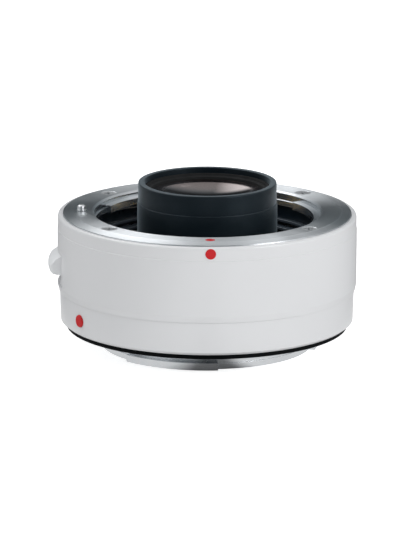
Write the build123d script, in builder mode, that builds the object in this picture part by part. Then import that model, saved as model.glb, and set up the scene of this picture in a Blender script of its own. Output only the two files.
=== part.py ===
from build123d import *
import math
import os

os.makedirs("parts", exist_ok=True)

# A teleconverter, the short tube that sits between a camera and its lens.
# Millimetres. Z is the optical axis and points to the lens. Zero is the face that meets the camera.
# Directions round the axis are degrees from +X. The lens index mark lies towards -Y.

# Both mounts
flange_distance = 27.2
throat_r = 27.0
lug_reach = 1.6
lug_span_deg = 51.0
lug_degs = [9.0, 129.0, 249.0]
lug_end_fillet = 0.35
pilot_fit = 0.05
bayonet_fit = 0.2

# Directions round the axis
front_deg = 270.0
lever_deg = 180.0
contact_deg = 90.0
camera_mark_deg = 210.0
stop_deg = 339.5
lens_screw_degs = [38.5, 141.5, 218.5, 321.5]
camera_screw_degs = [45.0, 135.0, 225.0, 315.0]
barrel_screw_degs = [20.0, 140.0, 260.0]
board_screw_degs = [0.0, 60.0, 120.0, 180.0]

# Clearances
slide_fit = 0.1
seat_fit = 0.03
running_gap = 0.3
cut_overrun = 1.0

# Lens side mount ring
ring_w = 7.4
ring_plate_t = 2.3
ring_bevel_w = 2.4
ring_step_h = 0.2
ring_step_run = 0.25
ring_edge_chamfer = 0.15
throat_chamfer = 0.4
collar_wall = 1.5
lug_depth = 1.3
lug_t = 2.0
screw_inset = 3.0
ring_mark_r = 1.15
ring_mark_depth = 0.3

# Camera side mount ring
plate_w = 5.5
plate_t = 1.8
plate_chamfer = 0.1
pilot_h = 1.25
pilot_chamfer = 0.2
neck_wall = 1.7
neck_depth = 5.3
male_lug_t = 1.9
latch_pocket_fit = 0.6
latch_pocket_depth = 1.5
camera_screw_inset = 2.3

# Outer bands
body_lip = 1.35
body_foot_inset = 0.3
body_taper_h = 1.5
body_edge_chamfer = 0.15
body_wall = 1.75
front_band_inset = 0.1
front_lip_w = 0.2
front_band_round_h = 1.6
front_band_drop = 0.2
front_seam_drop = 3.8
rear_seam_drop = 5.0
rear_band_inset = 0.55
rear_band_draft = 0.2
rear_band_end_z = 0.5
rear_band_chamfer_h = 0.65
rear_lip_w = 0.45
shelf_gap = 0.2
shelf_t = 0.8
spigot_h = 1.0
spigot_wall = 0.8

# Seal round the camera side ring
seal_w = 1.05
seal_draft = 0.05
seal_lip_w = 0.5
seal_drop = 0.7
seal_heel_z = 0.3

# Index marks
lens_mark_r = 1.25
lens_mark_drop = 2.1
mark_depth = 0.45
mark_proud = 0.03
camera_mark_r = 1.5
camera_mark_depth = 0.6
camera_mark_rise = 0.35

# Chassis
well_depth = 13.7
deck_t = 2.0
well_wall = 1.0
high_ledge_w = 3.0
high_ledge_h = 4.0
low_ledge_w = 2.6
low_ledge_h = 2.0
skirt_wall = 2.0
boss_r = 2.2
pin_guide_h = 5.2
standoff_r = 1.3

# Lens barrel and nose
nose_gap = 10.5
nose_wall = 1.5
nose_rise = 7.1
nose_step = 0.2
nose_cap_h = 4.85
nose_rim_fillet = 0.35
nose_seam_chamfer = 0.12
nose_mouth_chamfer = 0.3
sleeve_wall = 1.0
retainer_w = 0.9
retainer_drop = 1.8
middle_step = 1.7
middle_retainer_w = 1.2
middle_retainer_t = 0.9
seat_lip_w = 1.2
seat_lip_t = 0.7
waist_h = 0.9
rear_step = 1.3
tail_wall = 1.5
tail_rim_h = 0.2
barrel_flange_w = 5.5
barrel_flange_t = 1.8
baffle_step = 0.9
baffle_w = 2.4
baffle_t = 0.7
spacer_wall = 0.9
rear_retainer_w = 1.1
rear_retainer_t = 1.0

# Glass: how far each surface falls away at its rim, then the thickness at the axis or at the edge
glass_fit = 0.05
cement = 0.02
front_glass_drop = 2.3
glass_1_front_sag = 1.62
glass_1_edge = 0.77
glass_1_back_sag = 2.61
glass_2_t = 1.6
glass_2_back_sag = 2.18
glass_3_drop = 2.9
glass_3_front_sag = 1.89
glass_3_t = 1.5
glass_3_back_sag = 2.57
glass_4_edge = 1.78
glass_4_back_sag = 2.25
glass_5_t = 1.5
glass_5_back_sag = 0.62
glass_6_drop = 0.94
glass_6_front_sag = 1.67
glass_6_edge = 0.92
glass_6_back_sag = 2.61
glass_7_t = 1.6
glass_7_back_sag = 1.3

# Release lever, its slide and the lock pin
lever_travel = 2.0
lever_reach = 2.25
lever_drop = 0.6
lever_h = 4.7
lever_tip_h = 3.0
lever_span_deg = 20.4
lever_end_fillet = 1.1
lever_edge_fillet = 0.35
stem_inset = 0.3
stem_h = 2.8
stem_span_deg = 14.0
apron_t = 0.6
apron_span_deg = 22.0
pocket_depth = 0.55
pocket_foot_h = 1.0
pocket_rim_h = 0.4
pocket_span_deg = 27.0
bracket_t = 0.8
bracket_span_deg = 18.0
lock_pin_r = 1.0
lock_pin_web = 0.3
lock_pin_hole_fit = 0.35
lock_pin_rise = 1.4
lock_pin_round = 0.5
spring_r = 1.1
spring_wire_r = 0.18
spring_spread = 3.2
spring_turns = 4

# Leaf springs under the lugs and the stop pin
leaf_w = 1.5
leaf_t = 0.25
leaf_bow = 0.35
leaf_half_length = 5.5
leaf_pad = 1.5
leaf_fit = 0.2
stop_pin_r = 0.8
stop_reach = 1.6
stop_pin_drop = 1.05
stop_head_r = 1.2
stop_head_t = 0.6

# Contacts on the lens side
contact_count = 11
contact_pitch = 2.03
contact_inset = 0.5
contact_travel = 0.9
contact_tip_r = 0.45
contact_rise = 0.9
contact_collar_r = 0.68
contact_collar_t = 1.1
contact_collar_drop = 1.1
contact_length = 5.0
contact_tip_round = 0.3
block_drop = 5.6
block_half_w = 1.8
block_end = 1.5
block_foot_gap = 0.9
block_foot_end = 3.0
block_roof_t = 1.0

# Contacts on the camera side
pad_count = 8
pad_pitch = 2.7
pad_length = 2.4
pad_width = 1.7
pad_t = 0.5
pad_proud = 0.05
pad_block_gap = 0.3
pad_block_w = 3.4
pad_block_h = 1.4
pad_block_end = 1.7

# Cover round the rear glass
cover_depth = 3.4
cover_t = 1.0
cover_flange_w = 3.0
cover_flange_t = 1.2
cover_ridge_h = 0.5
cover_ridge_w = 0.5
cover_ridge_inset = 2.4

# Electronics under the deck
board_inner_gap = 0.4
board_outer_gap = 0.5
board_t = 1.2
board_gap = 1.7
board_span_deg = 220.0
chip_size = 3.6
chip_t = 0.9
chip_degs = [28.0, 92.0, 152.0]
flex_inset = 0.5
flex_t = 0.2
flex_w = 8.0
flex_foot = 2.2

# Screws
mount_head_r = 1.85
mount_head_h = 0.9
mount_shaft_r = 0.95
mount_screw_length = 6.0
small_head_r = 1.1
small_head_h = 0.6
small_shaft_r = 0.6
small_screw_length = 2.4
screw_sunk = 0.05
cross_width_share = 0.26
cross_length_share = 1.2
cross_depth_share = 0.6
mount_screw = {
    "head_r": mount_head_r, "shaft_r": mount_shaft_r, "length": mount_screw_length, "head_h": mount_head_h}
small_screw = {
    "head_r": small_head_r, "shaft_r": small_shaft_r, "length": small_screw_length, "head_h": small_head_h}

# Radii that follow from the sizes above
lug_inner_r = throat_r - lug_reach
lug_outer_r = throat_r - bayonet_fit
neck_outer_r = lug_inner_r - slide_fit
neck_inner_r = neck_outer_r - neck_wall
collar_outer_r = throat_r + collar_wall
ring_outer_r = throat_r + ring_w
ring_land_r = ring_outer_r - ring_bevel_w
screw_circle_r = throat_r + screw_inset
plate_r = throat_r + plate_w
camera_screw_circle_r = throat_r + camera_screw_inset
body_r = ring_outer_r + body_lip
shell_inner_r = body_r - body_wall
spigot_r = shell_inner_r - slide_fit
chassis_r = spigot_r - spigot_wall - slide_fit
front_band_r = body_r - front_band_inset
front_band_lip_r = ring_outer_r + front_lip_w
rear_band_r = body_r - rear_band_inset
rear_band_foot_r = rear_band_r - rear_band_draft
seal_outer_r = plate_r + slide_fit + seal_w
seal_tip_r = seal_outer_r - seal_draft
shelf_inner_r = camera_screw_circle_r + boss_r + shelf_gap
well_outer_r = collar_outer_r + slide_fit
well_r = well_outer_r - well_wall
high_ledge_r = well_r - high_ledge_w
low_ledge_r = high_ledge_r - low_ledge_w
nose_r = throat_r - nose_gap
nose_tube_r = nose_r + nose_step
nose_bore_r = nose_r - nose_wall
sleeve_r = nose_bore_r - slide_fit
front_bore_r = sleeve_r - sleeve_wall
retainer_bore_r = front_bore_r - retainer_w
middle_bore_r = front_bore_r - middle_step
rear_bore_r = middle_bore_r + rear_step
baffle_bore_r = rear_bore_r - baffle_step
barrel_tail_r = rear_bore_r + tail_wall
barrel_flange_r = nose_bore_r + barrel_flange_w
barrel_screw_circle_r = (barrel_flange_r + nose_bore_r) / 2
cover_skirt_r = neck_inner_r - slide_fit
board_inner_r = barrel_flange_r + board_inner_gap
board_outer_r = camera_screw_circle_r - boss_r - board_outer_gap
board_middle_r = (board_inner_r + board_outer_r) / 2
flex_r = board_inner_r + flex_inset
lever_out_r = body_r + lever_reach
pocket_floor_r = body_r - pocket_depth
lock_pin_circle_r = well_outer_r + slide_fit + lock_pin_web + lock_pin_r
lock_pin_hole_r = lock_pin_r + lock_pin_hole_fit
latch_pocket_r = lock_pin_r + latch_pocket_fit

# Heights that follow from the sizes above
front_face_z = flange_distance
ring_under_z = front_face_z - ring_plate_t
ring_step_z = front_face_z - ring_step_h
lug_top_z = front_face_z - lug_depth
lug_under_z = lug_top_z - lug_t
deck_top_z = front_face_z - well_depth
deck_under_z = deck_top_z - deck_t
front_seam_z = front_face_z - front_seam_drop
front_band_top_z = front_face_z - front_band_drop
rear_seam_z = deck_top_z - rear_seam_drop
skirt_end_z = plate_t + shelf_t
nose_top_z = front_face_z + nose_rise
nose_seam_z = nose_top_z - nose_cap_h
retainer_top_z = nose_top_z - retainer_drop
block_top_z = front_face_z - block_drop
board_top_z = deck_under_z - board_gap
board_under_z = board_top_z - board_t
cover_under_z = -cover_depth
flange_low_z = deck_under_z - barrel_flange_t
foot_top_z = deck_top_z + low_ledge_h
lever_low_z = deck_top_z - lever_drop
lever_high_z = lever_low_z + lever_h
stem_low_z = lever_low_z + stem_inset
pocket_low_z = lever_low_z - lever_travel - pocket_foot_h
pocket_high_z = lever_high_z + pocket_rim_h

# The contact block's place and width round the axis
contact_circle_r = low_ledge_r - contact_inset
contact_pitch_deg = math.degrees(contact_pitch / contact_circle_r)
block_span_deg = math.degrees(((contact_count - 1) * contact_pitch + 2 * block_end) / contact_circle_r)
foot_end_deg = math.degrees(block_foot_end / contact_circle_r)
foot_span_deg = block_span_deg + 2 * foot_end_deg
block_inner_r = contact_circle_r - block_half_w
block_outer_r = contact_circle_r + block_half_w
block_foot_inner_r = nose_tube_r + block_foot_gap
block_screw_circle_r = (block_foot_inner_r + low_ledge_r) / 2
block_screw_degs = [contact_deg + side * (block_span_deg + foot_end_deg) / 2 for side in (-1, 1)]


def polar(radius, deg, z=0.0):
    """The point at this radius, direction and height."""
    return Vector(radius * math.cos(math.radians(deg)), radius * math.sin(math.radians(deg)), z)


def cutting_plane(deg):
    """The half plane through the axis in this direction, with X outwards and Y up."""
    return Plane(origin=(0, 0, 0), x_dir=polar(1, deg), z_dir=polar(1, deg - 90))


def outward_plane(radius, deg, z):
    """A plane that faces straight out from the axis, with X round the axis and Y up."""
    return Plane(origin=polar(radius, deg, z), x_dir=polar(1, deg + 90), z_dir=polar(1, deg))


def turn(outline, mode=Mode.ADD):
    """Turn a closed outline of (radius, height) corners right round the axis."""
    with BuildSketch(Plane.XZ) as profile:
        with BuildLine():
            Polyline(*outline, close=True)
        make_face()
    revolve(profile.sketch, axis=Axis.Z, mode=mode)


def turn_part(outline, middle_deg, span_deg, mode=Mode.ADD):
    """Turn the outline through part of a circle about a middle direction."""
    with BuildSketch(cutting_plane(middle_deg - span_deg / 2)) as profile:
        with BuildLine():
            Polyline(*outline, close=True)
        make_face()
    revolve(profile.sketch, axis=Axis.Z, revolution_arc=span_deg, mode=mode)


def band(inner_r, outer_r, low_z, high_z):
    """The corners of a plain ring's section."""
    return [(inner_r, low_z), (outer_r, low_z), (outer_r, high_z), (inner_r, high_z)]


def post(radius, place, low_z, high_z, mode=Mode.ADD):
    """A round post that stands at a place, from one height to another."""
    with BuildSketch(Plane.XY.offset(low_z)) as foot:
        with Locations((place.X, place.Y)):
            Circle(radius)
    extrude(foot.sketch, amount=high_z - low_z, mode=mode)


def drive_screw(screw, place, top_z, up=1):
    """A countersunk screw with a cross recess. Its head faces up, or down where up is -1."""
    head_r, shaft_r = screw["head_r"], screw["shaft_r"]
    section = Plane(origin=place + Vector(0, 0, top_z), x_dir=(1, 0, 0), z_dir=(0, -1, 0))
    with BuildSketch(section) as profile:
        with BuildLine():
            Polyline(
                (0, 0),
                (head_r, 0),
                (shaft_r, -up * screw["head_h"]),
                (shaft_r, -up * screw["length"]),
                (0, -up * screw["length"]),
                close=True,
            )
        make_face()
    revolve(profile.sketch, axis=Axis(place, (0, 0, 1)))
    with BuildSketch(Plane.XY.offset(top_z)) as cross:
        with Locations((place.X, place.Y)):
            Rectangle(cross_length_share * head_r, cross_width_share * head_r)
            Rectangle(cross_width_share * head_r, cross_length_share * head_r)
    extrude(cross.sketch, amount=-up * cross_depth_share * screw["head_h"], mode=Mode.SUBTRACT)


def screw_hole(screw, place, top_z, up=1):
    """The countersunk hole that the screw drops into, a little wider than the screw all over."""
    head_r, shaft_r = screw["head_r"] + seat_fit, screw["shaft_r"] + seat_fit
    section = Plane(origin=place + Vector(0, 0, top_z), x_dir=(1, 0, 0), z_dir=(0, -1, 0))
    with BuildSketch(section) as profile:
        with BuildLine():
            Polyline(
                (0, up * cut_overrun),
                (head_r, up * cut_overrun),
                (head_r, 0),
                (shaft_r, -up * screw["head_h"]),
                (shaft_r, -up * (screw["length"] + seat_fit)),
                (0, -up * (screw["length"] + seat_fit)),
                close=True,
            )
        make_face()
    revolve(profile.sketch, axis=Axis(place, (0, 0, 1)), mode=Mode.SUBTRACT)


def save(builder, name):
    """Label a finished piece and write it."""
    builder.part.label = name
    export_step(builder.part, f"parts/{name}.step")


# Lens side mount ring: a polished plate and collar with three lugs inside the throat
lens_screw_top_z = front_face_z - screw_sunk
with BuildPart() as lens_mount_ring:
    turn([
        (throat_r, lug_under_z),
        (collar_outer_r, lug_under_z),
        (collar_outer_r, ring_under_z),
        (ring_outer_r, ring_under_z),
        (ring_outer_r, ring_step_z - ring_edge_chamfer),
        (ring_outer_r - ring_edge_chamfer, ring_step_z),
        (ring_land_r + ring_step_run, ring_step_z),
        (ring_land_r, front_face_z),
        (throat_r + throat_chamfer, front_face_z),
        (throat_r, front_face_z - throat_chamfer),
    ])
    for lug_deg in lug_degs:
        turn_part(band(lug_inner_r, collar_outer_r, lug_under_z, lug_top_z), lug_deg, lug_span_deg)
    lug_corners = lens_mount_ring.edges().filter_by(Axis.Z).filter_by(
        lambda edge: abs(math.hypot(edge.center().X, edge.center().Y) - lug_inner_r) < seat_fit)
    fillet(lug_corners, radius=lug_end_fillet)
    for screw_deg in lens_screw_degs:
        screw_hole(mount_screw, polar(screw_circle_r, screw_deg), lens_screw_top_z)
    post(lock_pin_hole_r, polar(lock_pin_circle_r, lever_deg), lug_under_z, front_face_z, Mode.SUBTRACT)
    post(ring_mark_r + seat_fit, polar(screw_circle_r, front_deg),
         front_face_z - ring_mark_depth, front_face_z, Mode.SUBTRACT)
save(lens_mount_ring, "lens_mount_ring")

with BuildPart() as lens_mount_screws:
    for screw_deg in lens_screw_degs:
        drive_screw(mount_screw, polar(screw_circle_r, screw_deg), lens_screw_top_z)
save(lens_mount_screws, "lens_mount_screws")

with BuildPart() as flange_index_dot:
    post(ring_mark_r, polar(screw_circle_r, front_deg),
         front_face_z - ring_mark_depth, front_face_z - seat_fit)
save(flange_index_dot, "flange_index_dot")

# Leaf springs: bowed strips that press a lens's lugs up against the ring
leaf_outer_r = well_r - leaf_fit
leaf_inner_r = leaf_outer_r - leaf_w
with BuildPart() as mount_leaf_springs:
    for lug_deg in lug_degs:
        with BuildSketch(outward_plane(0, lug_deg, lug_under_z)) as strip:
            with BuildLine():
                upper = ThreePointArc((-leaf_half_length, 0), (0, -leaf_bow), (leaf_half_length, 0))
                lower = ThreePointArc(
                    (-leaf_half_length, -leaf_t), (0, -leaf_bow - leaf_t), (leaf_half_length, -leaf_t))
                Polyline(upper @ 1, (leaf_half_length + leaf_pad, 0),
                         (leaf_half_length + leaf_pad, -leaf_t), lower @ 1)
                Polyline(upper @ 0, (-leaf_half_length - leaf_pad, 0),
                         (-leaf_half_length - leaf_pad, -leaf_t), lower @ 0)
            make_face()
        extrude(strip.sketch, amount=leaf_outer_r)
    turn(band(leaf_inner_r, leaf_outer_r, lug_under_z - leaf_bow - cut_overrun, lug_under_z), Mode.INTERSECT)
save(mount_leaf_springs, "mount_leaf_springs")

# Stop pin: set through the well's wall, it ends the lens's turn
stop_z = lug_under_z - stop_pin_drop
stop_tip_r = well_r - stop_reach
with BuildPart() as bayonet_stop_pin:
    with BuildSketch(outward_plane(stop_tip_r, stop_deg, stop_z)):
        Circle(stop_pin_r)
    extrude(amount=well_outer_r + seat_fit - stop_tip_r)
    with BuildSketch(outward_plane(well_outer_r + seat_fit, stop_deg, stop_z)):
        Circle(stop_head_r)
    extrude(amount=stop_head_t)
save(bayonet_stop_pin, "bayonet_stop_pin")


def front_band_section(growth):
    """The lens side band's outline, with its outer face moved out by a small growth."""
    with BuildSketch(Plane.XZ) as profile:
        with BuildLine():
            skin = front_band_r + growth
            top = front_band_top_z + growth
            round_z = front_band_top_z - front_band_round_h
            TangentArc((skin, round_z), (front_band_lip_r + growth, top), tangent=(0, 1))
            Polyline(
                (front_band_lip_r + growth, top),
                (ring_outer_r + seat_fit, top),
                (ring_outer_r + seat_fit, ring_under_z),
                (spigot_r - body_wall / 2, ring_under_z),
                (spigot_r - body_wall / 2, front_seam_z - spigot_h),
                (spigot_r, front_seam_z - spigot_h),
                (spigot_r, front_seam_z),
                (skin - body_edge_chamfer, front_seam_z),
                (skin, front_seam_z + body_edge_chamfer),
                (skin, round_z),
            )
        make_face()
    return profile.sketch


# Lens side band: the white ring round the mount, with the lens index mark let into it
lens_mark_z = front_face_z - lens_mark_drop
lens_mark_bed_r = front_band_r - mark_depth
with BuildPart() as front_band:
    revolve(front_band_section(0), axis=Axis.Z)
    with BuildSketch(outward_plane(lens_mark_bed_r, front_deg, lens_mark_z)):
        Circle(lens_mark_r + seat_fit)
    extrude(amount=mark_depth + cut_overrun, mode=Mode.SUBTRACT)
save(front_band, "front_band")

with BuildPart() as lens_index_dot:
    with BuildSketch(outward_plane(lens_mark_bed_r, front_deg, lens_mark_z)):
        Circle(lens_mark_r)
    extrude(amount=mark_depth + cut_overrun)
    revolve(front_band_section(mark_proud), axis=Axis.Z, mode=Mode.INTERSECT)
save(lens_index_dot, "lens_index_dot")

# Main shell: the widest band, with the lever's pocket and slot on one side
slot_low_z = stem_low_z - lever_travel - running_gap
slot_high_z = stem_low_z + stem_h + running_gap
slot_span_deg = stem_span_deg + math.degrees(2 * running_gap / shell_inner_r)
with BuildPart() as main_shell:
    turn([
        (shell_inner_r, rear_seam_z),
        (body_r - body_foot_inset, rear_seam_z),
        (body_r, rear_seam_z + body_taper_h),
        (body_r, front_seam_z - body_edge_chamfer),
        (body_r - body_edge_chamfer, front_seam_z),
        (shell_inner_r, front_seam_z),
    ])
    turn_part(band(pocket_floor_r, body_r + cut_overrun, pocket_low_z, pocket_high_z),
              lever_deg, pocket_span_deg, Mode.SUBTRACT)
    turn_part(band(shell_inner_r - cut_overrun, body_r, slot_low_z, slot_high_z),
              lever_deg, slot_span_deg, Mode.SUBTRACT)
save(main_shell, "main_shell")

# Camera side band: it ends in a shelf that the camera side ring clamps to the chassis
apron_low_z = slot_low_z - running_gap
apron_high_z = slot_high_z + lever_travel + running_gap
band_inner_r = chassis_r + slide_fit
camera_mark_z = (rear_band_end_z + rear_seam_z) / 2
with BuildPart() as rear_band:
    turn([
        (seal_outer_r + pilot_fit, rear_band_end_z),
        (seal_outer_r + pilot_fit + rear_lip_w, rear_band_end_z),
        (rear_band_foot_r, rear_band_end_z + rear_band_chamfer_h),
        (rear_band_r, rear_seam_z),
        (spigot_r, rear_seam_z),
        (spigot_r, rear_seam_z + spigot_h),
        (band_inner_r, rear_seam_z + spigot_h),
        (band_inner_r, skirt_end_z),
        (shelf_inner_r, skirt_end_z),
        (shelf_inner_r, plate_t),
        (seal_outer_r + pilot_fit, plate_t),
    ])
    turn_part(
        band(chassis_r, shell_inner_r, apron_low_z - lever_travel - running_gap,
             rear_seam_z + spigot_h + cut_overrun),
        lever_deg, pocket_span_deg, Mode.SUBTRACT)
    camera_mark_bed_r = rear_band_r - camera_mark_depth
    with BuildSketch(outward_plane(camera_mark_bed_r, camera_mark_deg, camera_mark_z)):
        Circle(camera_mark_r + seat_fit)
    extrude(amount=camera_mark_depth + cut_overrun, mode=Mode.SUBTRACT)
save(rear_band, "rear_band")

with BuildPart() as camera_index_dot:
    with BuildSketch(outward_plane(camera_mark_bed_r, camera_mark_deg, camera_mark_z)):
        Circle(camera_mark_r)
    extrude(amount=camera_mark_depth + camera_mark_rise)
    crown = camera_index_dot.faces().sort_by(Axis(polar(0, 0), polar(1, camera_mark_deg)))[-1]
    fillet(crown.edges(), radius=camera_mark_rise)
save(camera_index_dot, "camera_index_dot")

with BuildPart() as rear_seal:
    turn([
        (plate_r + slide_fit, plate_t),
        (seal_outer_r, plate_t),
        (seal_outer_r, seal_heel_z),
        (seal_tip_r, -seal_drop),
        (seal_tip_r - seal_lip_w, -seal_drop),
        (plate_r + slide_fit, 0),
    ])
save(rear_seal, "rear_seal")

# Camera side mount ring: a flange, a pilot that centres it and a neck with three lugs
pilot_r = throat_r - pilot_fit
with BuildPart() as camera_mount_ring:
    turn([
        (neck_inner_r, -neck_depth),
        (neck_outer_r, -neck_depth),
        (neck_outer_r, -pilot_h),
        (pilot_r - pilot_chamfer, -pilot_h),
        (pilot_r, -pilot_h + pilot_chamfer),
        (pilot_r, 0),
        (plate_r - plate_chamfer, 0),
        (plate_r, plate_chamfer),
        (plate_r, plate_t),
        (neck_inner_r, plate_t),
    ])
    for lug_deg in lug_degs:
        turn_part(band(neck_inner_r, lug_outer_r, -neck_depth, -neck_depth + male_lug_t),
                  lug_deg, lug_span_deg)
    lug_corners = camera_mount_ring.edges().filter_by(Axis.Z).filter_by(
        lambda edge: abs(math.hypot(edge.center().X, edge.center().Y) - lug_outer_r) < seat_fit)
    fillet(lug_corners, radius=lug_end_fillet)
    for screw_deg in camera_screw_degs:
        screw_hole(mount_screw, polar(camera_screw_circle_r, screw_deg), screw_sunk, up=-1)
    post(latch_pocket_r, polar(lock_pin_circle_r, lever_deg), 0, latch_pocket_depth, Mode.SUBTRACT)
save(camera_mount_ring, "camera_mount_ring")

with BuildPart() as camera_mount_screws:
    for screw_deg in camera_screw_degs:
        drive_screw(mount_screw, polar(camera_screw_circle_r, screw_deg), screw_sunk, up=-1)
save(camera_mount_screws, "camera_mount_screws")

# Chassis: a deck with the lens's well above it and a skirt below, all in one casting
flex_slot_half = flex_w / 2 + running_gap
with BuildPart() as chassis:
    turn(band(nose_bore_r, chassis_r, deck_under_z, deck_top_z))
    turn(band(well_r, well_outer_r, deck_top_z, lug_under_z))
    turn(band(high_ledge_r, well_r, deck_top_z, deck_top_z + high_ledge_h))
    turn(band(low_ledge_r, high_ledge_r, deck_top_z, deck_top_z + low_ledge_h))
    turn(band(chassis_r - skirt_wall, chassis_r, skirt_end_z, deck_under_z))
    for screw_deg in lens_screw_degs:
        post(boss_r, polar(screw_circle_r, screw_deg), deck_top_z, ring_under_z)
    post(boss_r, polar(lock_pin_circle_r, lever_deg), ring_under_z - pin_guide_h, ring_under_z)
    turn(band(collar_outer_r - well_wall * 2, collar_outer_r + slide_fit, lug_under_z, ring_under_z),
         Mode.SUBTRACT)
    turn(band(high_ledge_r, well_r, deck_top_z + high_ledge_h, lug_under_z), Mode.SUBTRACT)
    for screw_deg in camera_screw_degs:
        post(boss_r, polar(camera_screw_circle_r, screw_deg), plate_t, deck_under_z)
    for screw_deg in board_screw_degs:
        post(standoff_r, polar(board_middle_r, screw_deg), board_top_z, deck_under_z)
    for screw_deg in lens_screw_degs:
        screw_hole(mount_screw, polar(screw_circle_r, screw_deg), lens_screw_top_z)
    for screw_deg in camera_screw_degs:
        screw_hole(mount_screw, polar(camera_screw_circle_r, screw_deg), screw_sunk, up=-1)
    for screw_deg in barrel_screw_degs:
        screw_hole(small_screw, polar(barrel_screw_circle_r, screw_deg), flange_low_z + screw_sunk, up=-1)
    for screw_deg in board_screw_degs:
        screw_hole(small_screw, polar(board_middle_r, screw_deg), board_under_z, up=-1)
    for screw_deg in block_screw_degs:
        screw_hole(small_screw, polar(block_screw_circle_r, screw_deg), foot_top_z - screw_sunk)
    post(lock_pin_r + slide_fit, polar(lock_pin_circle_r, lever_deg),
         ring_under_z - pin_guide_h, ring_under_z, Mode.SUBTRACT)
    with BuildSketch(outward_plane(well_r - cut_overrun, stop_deg, stop_z)):
        Circle(stop_pin_r + seat_fit)
    extrude(amount=well_wall + 2 * cut_overrun, mode=Mode.SUBTRACT)
    with BuildSketch(Plane.XY.offset(deck_under_z)):
        with Locations((0, flex_r)):
            Rectangle(2 * flex_slot_half, flex_t + 2 * running_gap)
    extrude(amount=deck_t, mode=Mode.SUBTRACT)
save(chassis, "chassis")


def fall(rim_sag, rim_r, r):
    """How far a round surface has fallen at this radius, when it falls by the sag at its rim."""
    curve_r = (rim_r**2 + rim_sag**2) / (2 * rim_sag)
    return curve_r - math.sqrt(curve_r**2 - r**2)


def glass(rim_r, front_z, front_sag, back_z, back_sag):
    """One element. A positive sag bulges to the lens side, a negative one to the camera side."""

    def height(crown_z, rim_sag, r):
        return crown_z - math.copysign(fall(abs(rim_sag), rim_r, r), rim_sag)

    with BuildSketch(Plane.XZ) as profile:
        with BuildLine():
            half = rim_r / 2
            front = ThreePointArc((0, front_z), (half, height(front_z, front_sag, half)),
                                  (rim_r, front_z - front_sag))
            back = ThreePointArc((0, back_z), (half, height(back_z, back_sag, half)),
                                 (rim_r, back_z - back_sag))
            Line(front @ 1, back @ 1)
            Line(front @ 0, back @ 0)
        make_face()
    revolve(profile.sketch, axis=Axis.Z)


# Front group: two cemented elements in the nose cap
front_glass_r = front_bore_r - glass_fit
crown_1 = nose_top_z - front_glass_drop
crown_1b = crown_1 - glass_1_front_sag - glass_1_edge - glass_1_back_sag
crown_2b = crown_1b - cement - glass_2_t
front_rim_low_z = crown_2b - glass_2_back_sag
cap_lip_z = front_rim_low_z - seat_fit
cap_end_z = cap_lip_z - seat_lip_t

with BuildPart() as lens_element_1:
    glass(front_glass_r, crown_1, glass_1_front_sag, crown_1b, -glass_1_back_sag)
save(lens_element_1, "lens_element_1")

with BuildPart() as lens_element_2:
    glass(front_glass_r, crown_1b - cement, -glass_1_back_sag, crown_2b, glass_2_back_sag)
save(lens_element_2, "lens_element_2")

# Nose: a cap that holds the front group, on a slightly wider tube that stands on the deck
retainer_seat_z = crown_1 - fall(glass_1_front_sag, front_glass_r, retainer_bore_r) + seat_fit
with BuildPart() as nose_cap:
    turn([
        (front_bore_r - seat_lip_w, cap_end_z),
        (sleeve_r, cap_end_z),
        (sleeve_r, nose_seam_z),
        (nose_r - nose_seam_chamfer, nose_seam_z),
        (nose_r, nose_seam_z + nose_seam_chamfer),
        (nose_r, nose_top_z),
        (nose_bore_r, nose_top_z),
        (nose_bore_r, retainer_seat_z),
        (front_bore_r, retainer_seat_z),
        (front_bore_r, cap_lip_z),
        (front_bore_r - seat_lip_w, cap_lip_z),
    ])
    rim_face = nose_cap.faces().sort_by(Axis.Z)[-1]
    fillet(rim_face.edges().sort_by(SortBy.LENGTH)[-1], radius=nose_rim_fillet)
    rim_face = nose_cap.faces().filter_by(Plane.XY).sort_by(Axis.Z)[-1]
    chamfer(rim_face.edges().sort_by(SortBy.LENGTH)[0], length=nose_mouth_chamfer)
save(nose_cap, "nose_cap")

with BuildPart() as front_retaining_ring:
    turn([
        (retainer_bore_r, retainer_seat_z),
        (nose_bore_r - seat_fit, retainer_seat_z),
        (nose_bore_r - seat_fit, retainer_top_z),
        (front_bore_r, retainer_top_z),
    ])
save(front_retaining_ring, "front_retaining_ring")

with BuildPart() as nose_tube:
    turn([
        (nose_bore_r, deck_top_z),
        (nose_tube_r, deck_top_z),
        (nose_tube_r, nose_seam_z - nose_seam_chamfer),
        (nose_tube_r - nose_seam_chamfer, nose_seam_z),
        (nose_bore_r, nose_seam_z),
    ])
save(nose_tube, "nose_tube")

# Middle group: three cemented elements in the barrel
middle_glass_r = middle_bore_r - glass_fit
crown_3 = cap_end_z - glass_3_drop
crown_3b = crown_3 - glass_3_t
crown_4b = crown_3b - cement - glass_3_back_sag - glass_4_edge - glass_4_back_sag
crown_5b = crown_4b - cement - glass_5_t
middle_rim_high_z = crown_3 + glass_3_front_sag
middle_lip_z = crown_5b + fall(glass_5_back_sag, middle_glass_r, middle_glass_r - seat_lip_w) - seat_fit

with BuildPart() as lens_element_3:
    glass(middle_glass_r, crown_3, -glass_3_front_sag, crown_3b, glass_3_back_sag)
save(lens_element_3, "lens_element_3")

with BuildPart() as lens_element_4:
    glass(middle_glass_r, crown_3b - cement, glass_3_back_sag, crown_4b, -glass_4_back_sag)
save(lens_element_4, "lens_element_4")

with BuildPart() as lens_element_5:
    glass(middle_glass_r, crown_4b - cement, -glass_4_back_sag, crown_5b, -glass_5_back_sag)
save(lens_element_5, "lens_element_5")

with BuildPart() as middle_retaining_ring:
    ring_low_z = middle_rim_high_z + seat_fit
    turn(band(middle_bore_r - middle_retainer_w, middle_bore_r - seat_fit, ring_low_z,
              min(ring_low_z + middle_retainer_t, cap_end_z)))
save(middle_retaining_ring, "middle_retaining_ring")

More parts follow.
